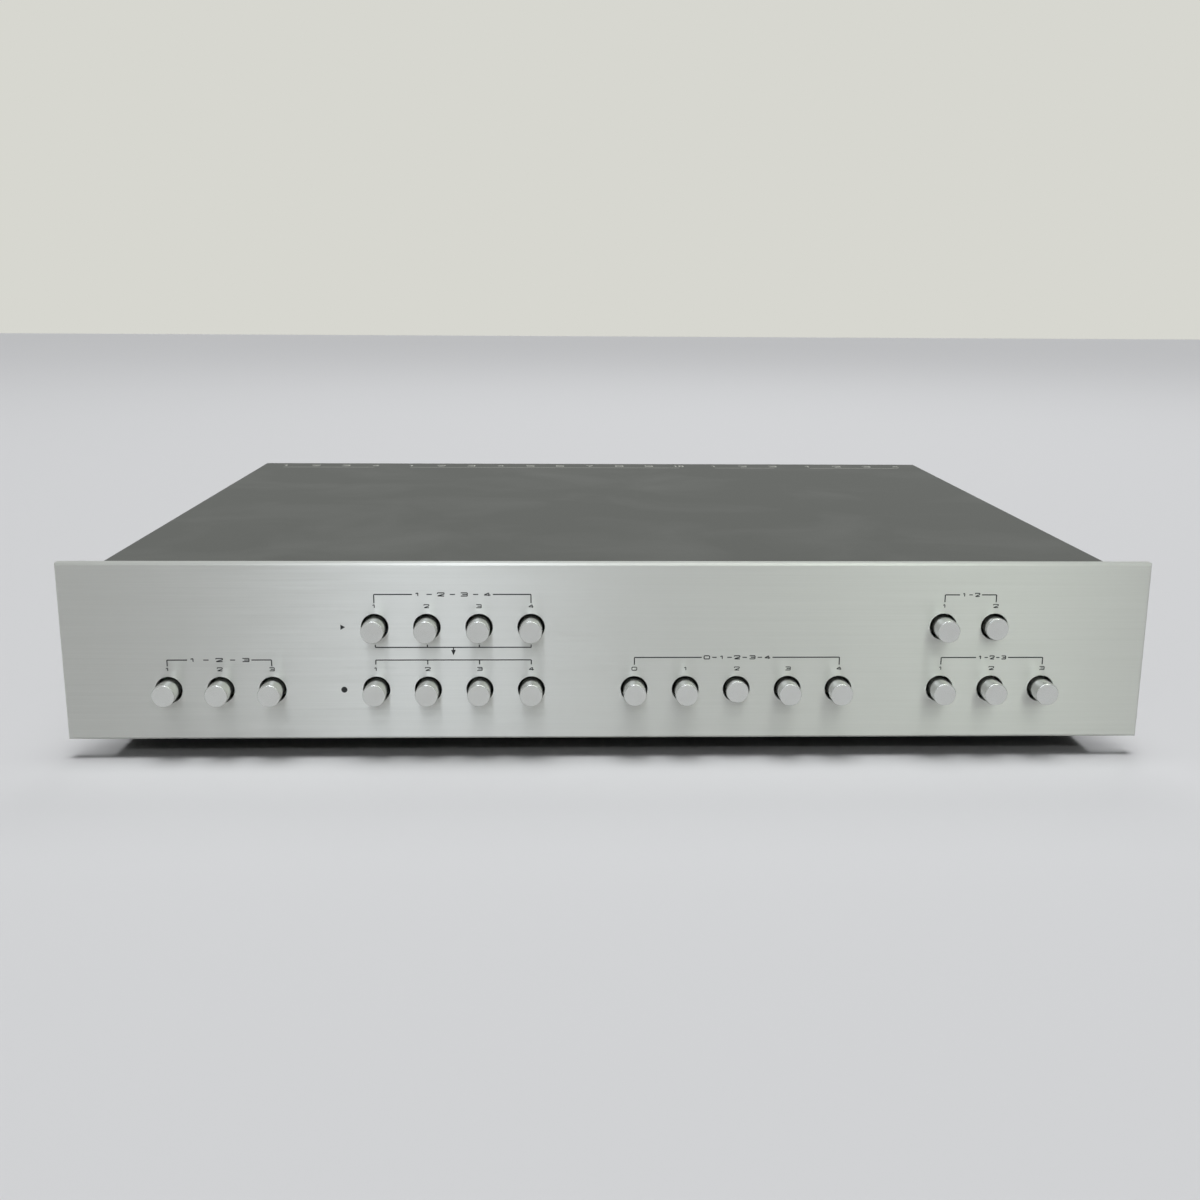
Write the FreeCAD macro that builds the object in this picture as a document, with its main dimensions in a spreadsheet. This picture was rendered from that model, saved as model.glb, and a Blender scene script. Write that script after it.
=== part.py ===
# Full-width audio source selector: a flat steel case behind a thick brushed front panel, with
# 21 push buttons in six groups and 42 phono connectors at the rear. Sizes are in millimetres.
#
# The row frame has +Z up, the front facing -Y, and its origin under the middle of the case, on
# the surface that the feet stand on. Each piece is drawn in panel coordinates: x from the middle
# of the front panel, y as depth behind its front face, z as height above its bottom edge.

import FreeCAD, Part
import math
import os
import re
import Sketcher

Vector = FreeCAD.Vector
Rotation = FreeCAD.Rotation

SIZES = {
    # front panel and case
    "panel_margin": 40,
    "panel_height": 70,
    "panel_thickness": 4.5,
    "panel_bevel": 0.8,
    "case_depth": 300,
    "cover_inset": 15.5,
    "cover_drop": 0.5,
    "cover_sheet": 1,
    "cover_bend": 1.5,
    "sheet_gap": 0.2,
    "sub_panel_thickness": 1.5,
    "rear_panel_thickness": 1.2,
    "tray_sheet": 1,
    "tray_wall_height": 22,
    "tray_flange_height": 9,
    # feet
    "foot_height": 8,
    "foot_diameter": 20,
    "foot_edge": 1.5,
    "foot_recess_diameter": 8,
    "foot_recess_depth": 5,
    "foot_side_inset": 44.5,
    "foot_end_inset": 45,
    # push buttons
    "column_pitch": 20,
    "column_gap": 40,
    "lower_row": 20,
    "row_pitch": 25,
    "button_diameter": 8.7,
    "button_gap": 0.95,
    "button_edge": 0.4,
    "button_proud": 8.5,
    "button_tail": 1,
    "button_travel": 4,
    "button_overtravel": 0.8,
    # plungers and return springs
    "rod_side": 4,
    "rod_seat": 6,
    "rod_fit": 0.05,
    "rod_gap": 0.3,
    "collar_rim": 0.2,
    "collar_thickness": 1.5,
    "slider_side": 6,
    "slider_length": 14,
    "catch_depth": 0.7,
    "spring_wire": 0.5,
    "spring_gap": 0.2,
    "spring_turns": 5,
    "spring_closed": 4.7,
    "spring_seat_gap": 0.05,
    # switch frames, housings, latch bars and boards
    "frame_sheet": 1.2,
    "frame_margin": 10,
    "frame_foot": 8,
    "frame_height": 20,
    "housing_width": 14,
    "housing_height": 14,
    "housing_stop": 1.4,
    "housing_tail": 10.1,
    "bar_thickness": 0.8,
    "bar_height": 8,
    "bar_gap": 0.3,
    "bar_travel": 1.6,
    "bar_end": 9,
    "bar_link_width": 3,
    "board_thickness": 1.6,
    "board_margin": 9,
    "board_overhang": 8,
    # screws
    "screw_diameter": 3,
    "screw_length": 4.5,
    "screw_gap": 0.1,
    "screw_head_diameter": 5.5,
    "screw_head_height": 2,
    "screw_slot_width": 0.9,
    "screw_slot_length": 3,
    "screw_slot_depth": 1.1,
    "edge_screw_inset": 13.3,
    "edge_screw_height": 4.5,
    "cover_screw_height": 13,
    "cover_screw_inset": 50,
    # phono connectors and ground terminals
    "jack_pitch": 17.5,
    "jack_group_gap": 21,
    "jack_lower_row": 29,
    "jack_row_pitch": 21,
    "jack_proud": 10,
    "jack_diameter": 8.3,
    "jack_wall": 0.6,
    "jack_fit": 0.05,
    "jack_tip_edge": 0.4,
    "jack_flange_diameter": 11,
    "jack_flange_thickness": 0.8,
    "jack_flange_gap": 0.3,
    "jack_lip_diameter": 9.6,
    "jack_lip_thickness": 0.4,
    "jack_bore_diameter": 3.2,
    "jack_bore_depth": 9,
    "jack_insert_recess": 0.3,
    "jack_insert_tail": 3,
    "jack_board_thickness": 2,
    "jack_board_margin": 8,
    "ground_column": 120,
    "ground_pitch": 16,
    "ground_height": 15,
    "stud_diameter": 4,
    "stud_gap": 0.1,
    "stud_proud": 9.5,
    "stud_head_diameter": 8,
    "stud_head_thickness": 3,
    "thumb_nut_diameter": 9,
    "thumb_nut_length": 5,
    "thumb_nut_step": 1,
    "thumb_nut_flute": 0.8,
    # wiring looms
    "loom_diameter": 6,
    "loom_gap": 0.2,
}

# Counts. The amplifier and record groups are in the lower row, play and line inputs in the upper.
AMP_COUNT = 3
TAPE_COUNT = 4
MONITOR_COUNT = 5
LINE_COUNT = 2
PHONO_COUNT = 3
NUT_FLUTES = 18

EDGE_SCREWS = 4
GROUND_POSTS = 2


def place_x(counts, pitch, gap, number, column):
    """The x of a column, where groups with these counts of columns stand about the middle."""
    groups = len(counts)
    start = f"-({sum(counts) - groups} * {pitch} + {groups - 1} * {gap}) / 2"
    steps = sum(counts[:number]) - number + column
    return f"({start} + {steps} * {pitch} + {number} * {gap})"


# Columns of buttons, in four groups across the panel, and the two rows.
COLUMNS = (AMP_COUNT, TAPE_COUNT, MONITOR_COUNT, PHONO_COUNT)
AMP_COLUMN = place_x(COLUMNS, "column_pitch", "column_gap", 0, 0)
TAPE_COLUMN = place_x(COLUMNS, "column_pitch", "column_gap", 1, 0)
MONITOR_COLUMN = place_x(COLUMNS, "column_pitch", "column_gap", 2, 0)
INPUT_COLUMN = place_x(COLUMNS, "column_pitch", "column_gap", 3, 0)
LOWER = "lower_row"
UPPER = "(lower_row + row_pitch)"

# Button groups: name, first column, count, row, and the number of the one button that is in.
BUTTONS = (
    ("amp", AMP_COLUMN, AMP_COUNT, LOWER, None),
    ("play", TAPE_COLUMN, TAPE_COUNT, UPPER, None),
    ("record", TAPE_COLUMN, TAPE_COUNT, LOWER, None),
    ("monitor", MONITOR_COLUMN, MONITOR_COUNT, LOWER, 3),
    ("line", INPUT_COLUMN, LINE_COUNT, UPPER, 2),
    ("phono", INPUT_COLUMN, PHONO_COUNT, LOWER, None),
)

# Switch frames: name, first column, columns, and the rows that the frame carries.
FRAMES = (
    ("amp", AMP_COLUMN, AMP_COUNT, (LOWER,)),
    ("tape", TAPE_COLUMN, TAPE_COUNT, (LOWER, UPPER)),
    ("monitor", MONITOR_COLUMN, MONITOR_COUNT, (LOWER,)),
    ("input", INPUT_COLUMN, PHONO_COUNT, (LOWER, UPPER)),
)

# Connector groups, from left to right as seen from the front: name and columns.
JACKS = (("amp", 4), ("tape", 10), ("line", 3), ("phono", 4))
JACK_ROWS = ("jack_lower_row", "(jack_lower_row + jack_row_pitch)")

# Depths and heights that several pieces share, each a formula of the sizes.
FRONT = "(button_proud - (button_proud + case_depth + jack_proud) / 2)"
PANEL_WIDTH = f"(2 * panel_margin - 2 * {AMP_COLUMN})"
COVER_WIDTH = f"({PANEL_WIDTH} - 2 * cover_inset)"
INNER_WIDTH = f"({COVER_WIDTH} - 2 * cover_sheet - 2 * sheet_gap)"
INNER_HEIGHT = "(panel_height - cover_drop - cover_sheet - sheet_gap)"
SUB_REAR = "(panel_thickness + sub_panel_thickness)"
CAP_REAR = f"({SUB_REAR} + button_tail)"
REACH = "(button_travel + button_overtravel)"
WEB_FRONT = f"({CAP_REAR} + collar_thickness + {REACH} + spring_closed)"
WEB_REAR = f"({WEB_FRONT} + frame_sheet)"
SLOT_DEPTH = "(bar_thickness + 2 * bar_gap)"
STOP_REAR = f"({WEB_REAR} + {SLOT_DEPTH} + housing_stop)"
SLIDER_FRONT = f"({STOP_REAR} + rod_gap)"
HOUSING_REAR = f"({SLIDER_FRONT} + slider_length + {REACH} + housing_tail)"
BOARD_REAR = f"({HOUSING_REAR} + board_overhang)"
REAR_INSIDE = "(case_depth - rear_panel_thickness)"
JACK_BOARD_INSIDE = f"({REAR_INSIDE} - jack_board_thickness)"
ROD_HOLE = "(rod_side + 2 * rod_gap)"
SCREW_HOLE = "(screw_diameter + 2 * screw_gap)"
SPRING_RADIUS = "(rod_side * sqrt(2) / 2 + spring_gap + spring_wire / 2)"
COLLAR_SIDE = f"(2 * {SPRING_RADIUS} + spring_wire + 2 * collar_rim)"

# Edges of a model that lie within this of a place, in millimetres, are at that place.
SAME_PLACE = 0.001

doc = FreeCAD.newDocument("AudioSourceSelector")
sheet = doc.addObject("Spreadsheet::Sheet", "Sizes")
for line, (alias, size) in enumerate(SIZES.items(), 1):
    sheet.set(f"A{line}", alias)
    sheet.set(f"B{line}", str(size))
    sheet.setAlias(f"B{line}", alias)
doc.recompute()

parts = []


def bind(item, path, formula):
    """Tie a property to a formula in which each size is written by its name in the sheet."""
    item.setExpression(path, re.sub(r"[a-z]+(_[a-z]+)+", r"Sizes.\g<0>", formula))


def seat(item, x="0", y="0", z="0"):
    """Place a piece drawn in panel coordinates, moved by the given formulas, in the row frame."""
    bind(item, "Placement.Base.x", x)
    bind(item, "Placement.Base.y", f"{FRONT} + {y}")
    bind(item, "Placement.Base.z", f"foot_height + {z}")


def new_body(label):
    """An empty body."""
    body = doc.addObject("PartDesign::Body", label)
    body.Label = label
    return body


def new_part(label):
    """A body that is a sub-part of its own, in panel coordinates."""
    body = new_body(label)
    seat(body)
    parts.append(body)
    return body


def sketch(body, name, role, across="0", up="0", out="0"):
    """A sketch on one of the body's origin planes, moved in the plane's own axes."""
    drawing = body.newObject("Sketcher::SketchObject", name)
    plane = next(item for item in body.Origin.OriginFeatures if item.Role == role)
    drawing.AttachmentSupport = (plane, "")
    drawing.MapMode = "FlatFace"
    bind(drawing, "AttachmentOffset.Base.x", across)
    bind(drawing, "AttachmentOffset.Base.y", up)
    bind(drawing, "AttachmentOffset.Base.z", out)
    return drawing


def upright(body, name, x, depth, z):
    """A sketch that faces the front, centred on x and z, at a depth behind the panel face."""
    return sketch(body, name, "XZ_Plane", x, z, f"-({depth})")


def flat(body, name, x, depth, z):
    """A sketch that faces up, centred on x and depth, at the height z."""
    return sketch(body, name, "XY_Plane", x, depth, z)


def constrain(drawing, rules):
    """Add constraints in one go: the fields of each, and a name and a formula for its size."""
    constraints = []
    for fields, name, _ in rules:
        constraint = Sketcher.Constraint(*fields)
        if name:
            constraint.Name = name
        constraints.append(constraint)
    drawing.addConstraint(constraints)
    for _, name, formula in rules:
        if name:
            bind(drawing, f"Constraints.{name}", formula)


def locate(line, point, name, across, up):
    """The rules that put a point of a sketch at two formulas from the sketch's origin."""
    if across == "0":
        yield ("PointOnObject", line, point, -2), None, None
    else:
        yield ("DistanceX", -1, 1, line, point, 1), f"{name}_across", across
    if up == "0":
        yield ("PointOnObject", line, point, -1), None, None
    else:
        yield ("DistanceY", -1, 1, line, point, 1), f"{name}_up", up


def closed(corners):
    """Lines round a closed shape, and the rules that join them."""
    count = len(corners)
    lines = [Part.LineSegment(corners[n], corners[(n + 1) % count]) for n in range(count)]
    rules = [(("Coincident", n, 2, (n + 1) % count, 1), None, None) for n in range(count)]
    return lines, rules


def rectangle(drawing, width, height):
    """A rectangle centred on the sketch's origin."""
    lines, rules = closed([Vector(-1, -1, 0), Vector(1, -1, 0), Vector(1, 1, 0), Vector(-1, 1, 0)])
    drawing.addGeometry(lines, False)
    for side in (0, 2):
        rules.append((("Horizontal", side), None, None))
        rules.append((("Vertical", side + 1), None, None))
    rules.append((("Symmetric", 0, 1, 2, 1, -1, 1), None, None))
    rules.append((("DistanceX", 0, 1, 0, 2, 2), "wide", width))
    rules.append((("DistanceY", 1, 1, 1, 2, 2), "high", height))
    constrain(drawing, rules)
    return drawing


def circle(drawing, diameter):
    """A circle centred on the sketch's origin."""
    drawing.addGeometry(Part.Circle(Vector(0, 0, 0), Vector(0, 0, 1), 1), False)
    rules = [
        (("Coincident", 0, 3, -1, 1), None, None),
        (("Diameter", 0, 2), "round", diameter),
    ]
    constrain(drawing, rules)
    return drawing


def outline(drawing, points):
    """A closed outline of straight lines through points given as two formulas each."""
    turn = 2 * math.pi / len(points)
    corners = [Vector(math.cos(turn * n), math.sin(turn * n), 0) for n in range(len(points))]
    lines, rules = closed(corners)
    drawing.addGeometry(lines, False)
    for n, (across, up) in enumerate(points):
        rules.extend(locate(n, 1, f"point_{n}", across, up))
    constrain(drawing, rules)
    return drawing


def holes(drawing, places):
    """Circles inside the outline of a sketch: the middle's two formulas and the diameter of each."""
    first = drawing.GeometryCount
    middle = Part.Circle(Vector(0, 0, 0), Vector(0, 0, 1), 1)
    drawing.addGeometry([middle] * len(places), False)
    rules = []
    for n, (across, up, diameter) in enumerate(places):
        rules.extend(locate(first + n, 3, f"hole_{n}", across, up))
        rules.append((("Diameter", first + n, 2), f"hole_{n}_round", diameter))
    constrain(drawing, rules)
    return drawing


def pad(body, name, drawing, length, reverse=False):
    """Material along the sketch's normal, or against it."""
    feature = body.newObject("PartDesign::Pad", name)
    feature.Profile = drawing
    feature.Reversed = reverse
    bind(feature, "Length", length)
    return feature


def pocket(body, name, drawing, length, reverse=False):
    """A cut against the sketch's normal, or along it."""
    feature = body.newObject("PartDesign::Pocket", name)
    feature.Profile = drawing
    feature.Reversed = reverse
    bind(feature, "Length", length)
    return feature


def spread(body, name, feature, count, spacing, axis="H_Axis"):
    """Copies of a feature in a row along an axis of its own sketch."""
    pattern = body.newObject("PartDesign::LinearPattern", name)
    pattern.Originals = [feature]
    pattern.Direction = (feature.Profile[0], [axis])
    pattern.Mode = "Spacing"
    bind(pattern, "Offset", spacing)
    pattern.Occurrences = count
    body.Tip = pattern
    return pattern


def revolve(body, name, drawing):
    """A full turn about the sketch's own upright axis."""
    feature = body.newObject("PartDesign::Revolution", name)
    feature.Profile = drawing
    feature.ReferenceAxis = (drawing, ["V_Axis"])
    feature.Angle = 360
    return feature


def group(label, copies):
    """Many copies of master bodies as one sub-part: each is a body, three formulas and a turn."""
    links = []
    for number, (master, x, depth, z, turn) in enumerate(copies, 1):
        link = doc.addObject("App::Link", f"{label}_{number}")
        link.LinkedObject = master
        link.Placement = FreeCAD.Placement(Vector(0, 0, 0), turn)
        seat(link, x, depth, z)
        links.append(link)
    compound = doc.addObject("Part::Compound", label)
    compound.Label = label
    compound.Links = links
    parts.append(compound)
    return compound


NO_TURN = Rotation()


def column_x(first, number):
    """The x of a button's column, counted from 0."""
    return f"({first} + {number} * column_pitch)"


def middle_x(first, count):
    """The x of the middle of a row of buttons."""
    return f"({first} + {count - 1} * column_pitch / 2)"


def jack_x(number, column):
    """The x of a connector column, counted from 0 within its group."""
    counts = [columns for _, columns in JACKS]
    return place_x(counts, "jack_pitch", "jack_group_gap", number, column)


# Places of the holes that several plates share: the middle and the diameter of each.
HOLE = "(button_diameter + 2 * button_gap)"
EDGE_SCREW_X = f"(-{INNER_WIDTH} / 2 + edge_screw_inset)"
EDGE_SCREW_STEP = f"(-2 * {EDGE_SCREW_X} / {EDGE_SCREWS - 1})"
EDGE_SCREW_COLUMNS = [
    f"({EDGE_SCREW_X} + {number} * {EDGE_SCREW_STEP})" for number in range(EDGE_SCREWS)
]
EDGE_SCREW_ROWS = ("edge_screw_height", "(panel_height - edge_screw_height)")
BUTTON_HOLES = [
    (column_x(first, number), row, HOLE)
    for _, first, count, row, _ in BUTTONS
    for number in range(count)
]
PANEL_SCREW_HOLES = [
    (across, row, SCREW_HOLE) for row in EDGE_SCREW_ROWS for across in EDGE_SCREW_COLUMNS
]


def frame_half(count):
    """Half the width of a frame over its two legs."""
    return f"({count - 1} * column_pitch / 2 + frame_margin)"


def foot_x(first, count, sign):
    """The x of the screws in a frame's left or right foot."""
    return f"({middle_x(first, count)} {sign} ({frame_half(count)} + frame_foot / 2))"


FRAME_SCREW_HOLES = [
    (foot_x(first, count, sign), row, SCREW_HOLE)
    for _, first, count, rows in FRAMES
    for row in rows
    for sign in "-+"
]


def perforated(body, depth, thickness, width, height, places):
    """A plate standing on the panel's bottom edge, with round holes through it."""
    drawing = upright(body, "plate", "0", depth, "0")
    half = f"{width} / 2"
    outline(drawing, ((f"-{half}", "0"), (half, "0"), (half, height), (f"-{half}", height)))
    holes(drawing, places)
    return pad(body, "slab", drawing, thickness, reverse=True)


# Front panel: thick aluminium plate, bevelled all round, with a round hole for each button and
# blind tapped holes behind for its own screws and those of the switch frames.
front_panel = new_part("front_panel")
slab = perforated(
    front_panel, "0", "panel_thickness", PANEL_WIDTH, "panel_height", BUTTON_HOLES
)
doc.recompute()
front_edges = [
    f"Edge{number}"
    for number, edge in enumerate(slab.Shape.Edges, 1)
    if isinstance(edge.Curve, Part.Line) and abs(edge.BoundBox.YMax) < SAME_PLACE
]
bevel = front_panel.newObject("PartDesign::Chamfer", "bevel")
bevel.Base = (slab, front_edges)
bind(bevel, "Size", "panel_bevel")
tap_end = f"({SUB_REAR} - screw_length - screw_gap)"
taps = holes(
    upright(front_panel, "taps", "0", tap_end, "0"), PANEL_SCREW_HOLES + FRAME_SCREW_HOLES
)
pocket(front_panel, "tapped", taps, f"panel_thickness - {tap_end}")

# Sub-panel: steel plate behind the front panel, which carries the switch frames.
sub_panel = new_part("sub_panel")
perforated(
    sub_panel,
    "panel_thickness",
    "sub_panel_thickness",
    INNER_WIDTH,
    INNER_HEIGHT,
    BUTTON_HOLES + PANEL_SCREW_HOLES + FRAME_SCREW_HOLES,
)

# Bottom tray: folded steel floor with two side walls and low front and rear flanges.
TRAY_FRONT = SUB_REAR
TRAY_LENGTH = f"({REAR_INSIDE} - {SUB_REAR})"
TRAY_MIDDLE = f"(({REAR_INSIDE} + {SUB_REAR}) / 2)"
FOOT_X = f"({COVER_WIDTH} / 2 - foot_side_inset)"
FOOT_SPACING = "(case_depth - 2 * foot_end_inset)"
COVER_SCREW_SPACING = "(case_depth - 2 * cover_screw_inset)"

bottom_tray = new_part("bottom_tray")
block = rectangle(flat(bottom_tray, "block", "0", TRAY_MIDDLE, "0"), INNER_WIDTH, TRAY_LENGTH)
pad(bottom_tray, "solid", block, "tray_wall_height")
hollow = rectangle(
    flat(bottom_tray, "hollow", "0", TRAY_MIDDLE, "tray_sheet"),
    f"{INNER_WIDTH} - 2 * tray_sheet",
    f"{TRAY_LENGTH} - 2 * tray_sheet",
)
pocket(bottom_tray, "inside", hollow, "tray_wall_height - tray_sheet", reverse=True)
ends = rectangle(
    flat(bottom_tray, "ends", "0", TRAY_MIDDLE, "tray_flange_height"),
    f"{INNER_WIDTH} - 2 * tray_sheet",
    TRAY_LENGTH,
)
pocket(bottom_tray, "end_cut", ends, "tray_wall_height - tray_flange_height", reverse=True)
for side, across in (("left", f"-{FOOT_X}"), ("right", FOOT_X)):
    drawing = circle(flat(bottom_tray, f"{side}_foot", across, "foot_end_inset", "0"), SCREW_HOLE)
    cut = pocket(bottom_tray, f"{side}_foot_cut", drawing, "tray_sheet", reverse=True)
    spread(bottom_tray, f"{side}_feet", cut, 2, FOOT_SPACING, "V_Axis")
for end, depth in (("front", TRAY_FRONT), ("rear", f"({REAR_INSIDE} - tray_sheet)")):
    drawing = circle(
        upright(bottom_tray, f"{end}_screw", EDGE_SCREW_X, depth, EDGE_SCREW_ROWS[0]), SCREW_HOLE
    )
    cut = pocket(bottom_tray, f"{end}_screw_cut", drawing, "tray_sheet")
    spread(bottom_tray, f"{end}_screws", cut, EDGE_SCREWS, EDGE_SCREW_STEP)


def side_holes(body, side, outside, thickness):
    """Two screw holes through a side wall whose outer or inner face is at the given x."""
    drawing = sketch(
        body, f"{side}_screw", "YZ_Plane", "cover_screw_inset", "cover_screw_height", outside
    )
    cut = pocket(body, f"{side}_screw_cut", circle(drawing, SCREW_HOLE), thickness)
    spread(body, f"{side}_screws", cut, 2, COVER_SCREW_SPACING)


side_holes(bottom_tray, "left", f"-{INNER_WIDTH} / 2 + tray_sheet", "tray_sheet")
side_holes(bottom_tray, "right", f"{INNER_WIDTH} / 2", "tray_sheet")

# Top cover: one folded sheet, closed on top and at both sides, open at the front, rear and below.
COVER_TOP = "(panel_height - cover_drop)"
COVER_LENGTH = "(case_depth - panel_thickness)"

top_cover = new_part("top_cover")
outer = rectangle(
    upright(top_cover, "outer", "0", "panel_thickness", f"{COVER_TOP} / 2"), COVER_WIDTH, COVER_TOP
)
shell = pad(top_cover, "shell", outer, COVER_LENGTH, reverse=True)
inner = rectangle(
    upright(top_cover, "inner", "0", "panel_thickness", f"({COVER_TOP} - cover_sheet) / 2"),
    f"{COVER_WIDTH} - 2 * cover_sheet",
    f"{COVER_TOP} - cover_sheet",
)
folded = pocket(top_cover, "folded", inner, COVER_LENGTH)
doc.recompute()
around = folded.Shape.BoundBox
bends = [
    f"Edge{number}"
    for number, edge in enumerate(folded.Shape.Edges, 1)
    if around.XMax - abs(edge.BoundBox.Center.x) < SAME_PLACE
    and around.ZMax - edge.BoundBox.ZMin < SAME_PLACE
]
rounded = top_cover.newObject("PartDesign::Fillet", "bends")
rounded.Base = (folded, bends)
bind(rounded, "Radius", "cover_bend")
side_holes(top_cover, "left", f"-{COVER_WIDTH} / 2 + cover_sheet", "cover_sheet")
side_holes(top_cover, "right", f"{COVER_WIDTH} / 2", "cover_sheet")

# Rear panel: steel plate with a hole round each connector's flange, and holes for the ground
# studs and the screws.
FLANGE_HOLE = "(jack_flange_diameter + 2 * jack_flange_gap)"
JACK_SCREW_Z = "(jack_lower_row + jack_row_pitch / 2)"


def jack_holes(group_number, columns, diameter):
    """The holes of one group of connectors and of the two screws of its board."""
    places = [
        (jack_x(group_number, column), height, diameter)
        for column in range(columns)
        for height in JACK_ROWS
    ]
    for column in (0, columns - 2):
        across = f"({jack_x(group_number, column)} + jack_pitch / 2)"
        places.append((across, JACK_SCREW_Z, SCREW_HOLE))
    return places


rear_places = []
for number, (_, columns) in enumerate(JACKS):
    rear_places.extend(jack_holes(number, columns, FLANGE_HOLE))
for number in range(GROUND_POSTS):
    across = f"(ground_column + {number} * ground_pitch)"
    rear_places.append((across, "ground_height", "(stud_diameter + 2 * stud_gap)"))
for across in EDGE_SCREW_COLUMNS:
    rear_places.append((across, EDGE_SCREW_ROWS[0], SCREW_HOLE))
rear_panel = new_part("rear_panel")
perforated(
    rear_panel, REAR_INSIDE, "rear_panel_thickness", INNER_WIDTH, INNER_HEIGHT, rear_places
)

# Jack boards: one strip of insulating board for each group of connectors, screwed on from outside.
jack_strips = []
for number, (name, columns) in enumerate(JACKS):
    strip = new_body(f"{name}_jack_board")
    left = f"({jack_x(number, 0)} - jack_board_margin)"
    right = f"({jack_x(number, columns - 1)} + jack_board_margin)"
    bottom = f"({JACK_ROWS[0]} - jack_board_margin)"
    top = f"({JACK_ROWS[1]} + jack_board_margin)"
    drawing = upright(strip, "board", "0", JACK_BOARD_INSIDE, "0")
    outline(drawing, ((left, bottom), (right, bottom), (right, top), (left, top)))
    holes(drawing, jack_holes(number, columns, "(jack_diameter + 2 * jack_fit)"))
    pad(strip, "strip", drawing, "jack_board_thickness", reverse=True)
    jack_strips.append((strip, "0", "0", "0", NO_TURN))
group("jack_boards", jack_strips)

# Jack shell: turned ring, its flange outside the board and its lip rolled over inside. It is
# drawn with the board's outer face at depth 0.
BORE_RADIUS = "(jack_diameter / 2 - jack_wall)"
JACK_REACH = "(rear_panel_thickness + jack_proud)"
shell = new_body("jack_shell")
lip_rear = "-(jack_board_thickness + jack_lip_thickness)"
ring = outline(
    flat(shell, "ring", "0", "0", "0"),
    (
        (BORE_RADIUS, lip_rear),
        ("jack_lip_diameter / 2", lip_rear),
        ("jack_lip_diameter / 2", "-jack_board_thickness"),
        ("jack_diameter / 2", "-jack_board_thickness"),
        ("jack_diameter / 2", "0"),
        ("jack_flange_diameter / 2", "0"),
        ("jack_flange_diameter / 2", "jack_flange_thickness"),
        ("jack_diameter / 2", "jack_flange_thickness"),
        ("jack_diameter / 2", f"{JACK_REACH} - jack_tip_edge"),
        ("jack_diameter / 2 - jack_tip_edge", JACK_REACH),
        (BORE_RADIUS, JACK_REACH),
    ),
)
revolve(shell, "turned", ring)

# Jack insert: moulded plug inside the shell, with the bore for a plug's centre pin.
insert = new_body("jack_insert")
INSERT_RADIUS = f"({BORE_RADIUS} - jack_fit)"
INSERT_TIP = f"({JACK_REACH} - jack_insert_recess)"
plug = outline(
    flat(insert, "plug", "0", "0", "0"),
    (
        ("0", f"{lip_rear} - jack_insert_tail"),
        (INSERT_RADIUS, f"{lip_rear} - jack_insert_tail"),
        (INSERT_RADIUS, INSERT_TIP),
        ("jack_bore_diameter / 2", INSERT_TIP),
        ("jack_bore_diameter / 2", f"{INSERT_TIP} - jack_bore_depth"),
        ("0", f"{INSERT_TIP} - jack_bore_depth"),
    ),
)
revolve(insert, "moulded", plug)


def at_each_jack(master):
    """A copy of a master body at every connector."""
    return [
        (master, jack_x(number, column), REAR_INSIDE, height, NO_TURN)
        for number, (_, columns) in enumerate(JACKS)
        for column in range(columns)
        for height in JACK_ROWS
    ]


group("jack_shells", at_each_jack(shell))
group("jack_inserts", at_each_jack(insert))

# Ground terminals: a stud with its head inside the rear panel and a fluted thumb nut outside.
stud = new_body("ground_stud")
turned = outline(
    flat(stud, "profile", "0", "0", "0"),
    (
        ("0", "-stud_head_thickness"),
        ("stud_head_diameter / 2", "-stud_head_thickness"),
        ("stud_head_diameter / 2", "0"),
        ("stud_diameter / 2", "0"),
        ("stud_diameter / 2", "rear_panel_thickness + stud_proud"),
        ("0", "rear_panel_thickness + stud_proud"),
    ),
)
revolve(stud, "turned", turned)
nut = new_body("thumb_nut")
turned = outline(
    flat(nut, "profile", "0", "0", "0"),
    (
        ("stud_diameter / 2 + stud_gap", "rear_panel_thickness"),
        ("thumb_nut_diameter / 2 - thumb_nut_step", "rear_panel_thickness"),
        (
            "thumb_nut_diameter / 2 - thumb_nut_step",
            "rear_panel_thickness + thumb_nut_step",
        ),
        ("thumb_nut_diameter / 2", "rear_panel_thickness + thumb_nut_step"),
        ("thumb_nut_diameter / 2", "rear_panel_thickness + thumb_nut_length"),
        ("stud_diameter / 2 + stud_gap", "rear_panel_thickness + thumb_nut_length"),
    ),
)
revolve(nut, "turned", turned)
drawing = circle(
    upright(nut, "flute", "0", "rear_panel_thickness + thumb_nut_step", "thumb_nut_diameter / 2"),
    "thumb_nut_flute",
)
flute = pocket(nut, "flute_cut", drawing, "thumb_nut_length - thumb_nut_step")
flutes = nut.newObject("PartDesign::PolarPattern", "flutes")
flutes.Originals = [flute]
flutes.Axis = (turned, ["V_Axis"])
flutes.Angle = 360
flutes.Occurrences = NUT_FLUTES
nut.Tip = flutes
group(
    "ground_terminals",
    [
        (master, f"(ground_column + {number} * ground_pitch)", REAR_INSIDE, "ground_height", NO_TURN)
        for number in range(GROUND_POSTS)
        for master in (stud, nut)
    ],
)

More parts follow.
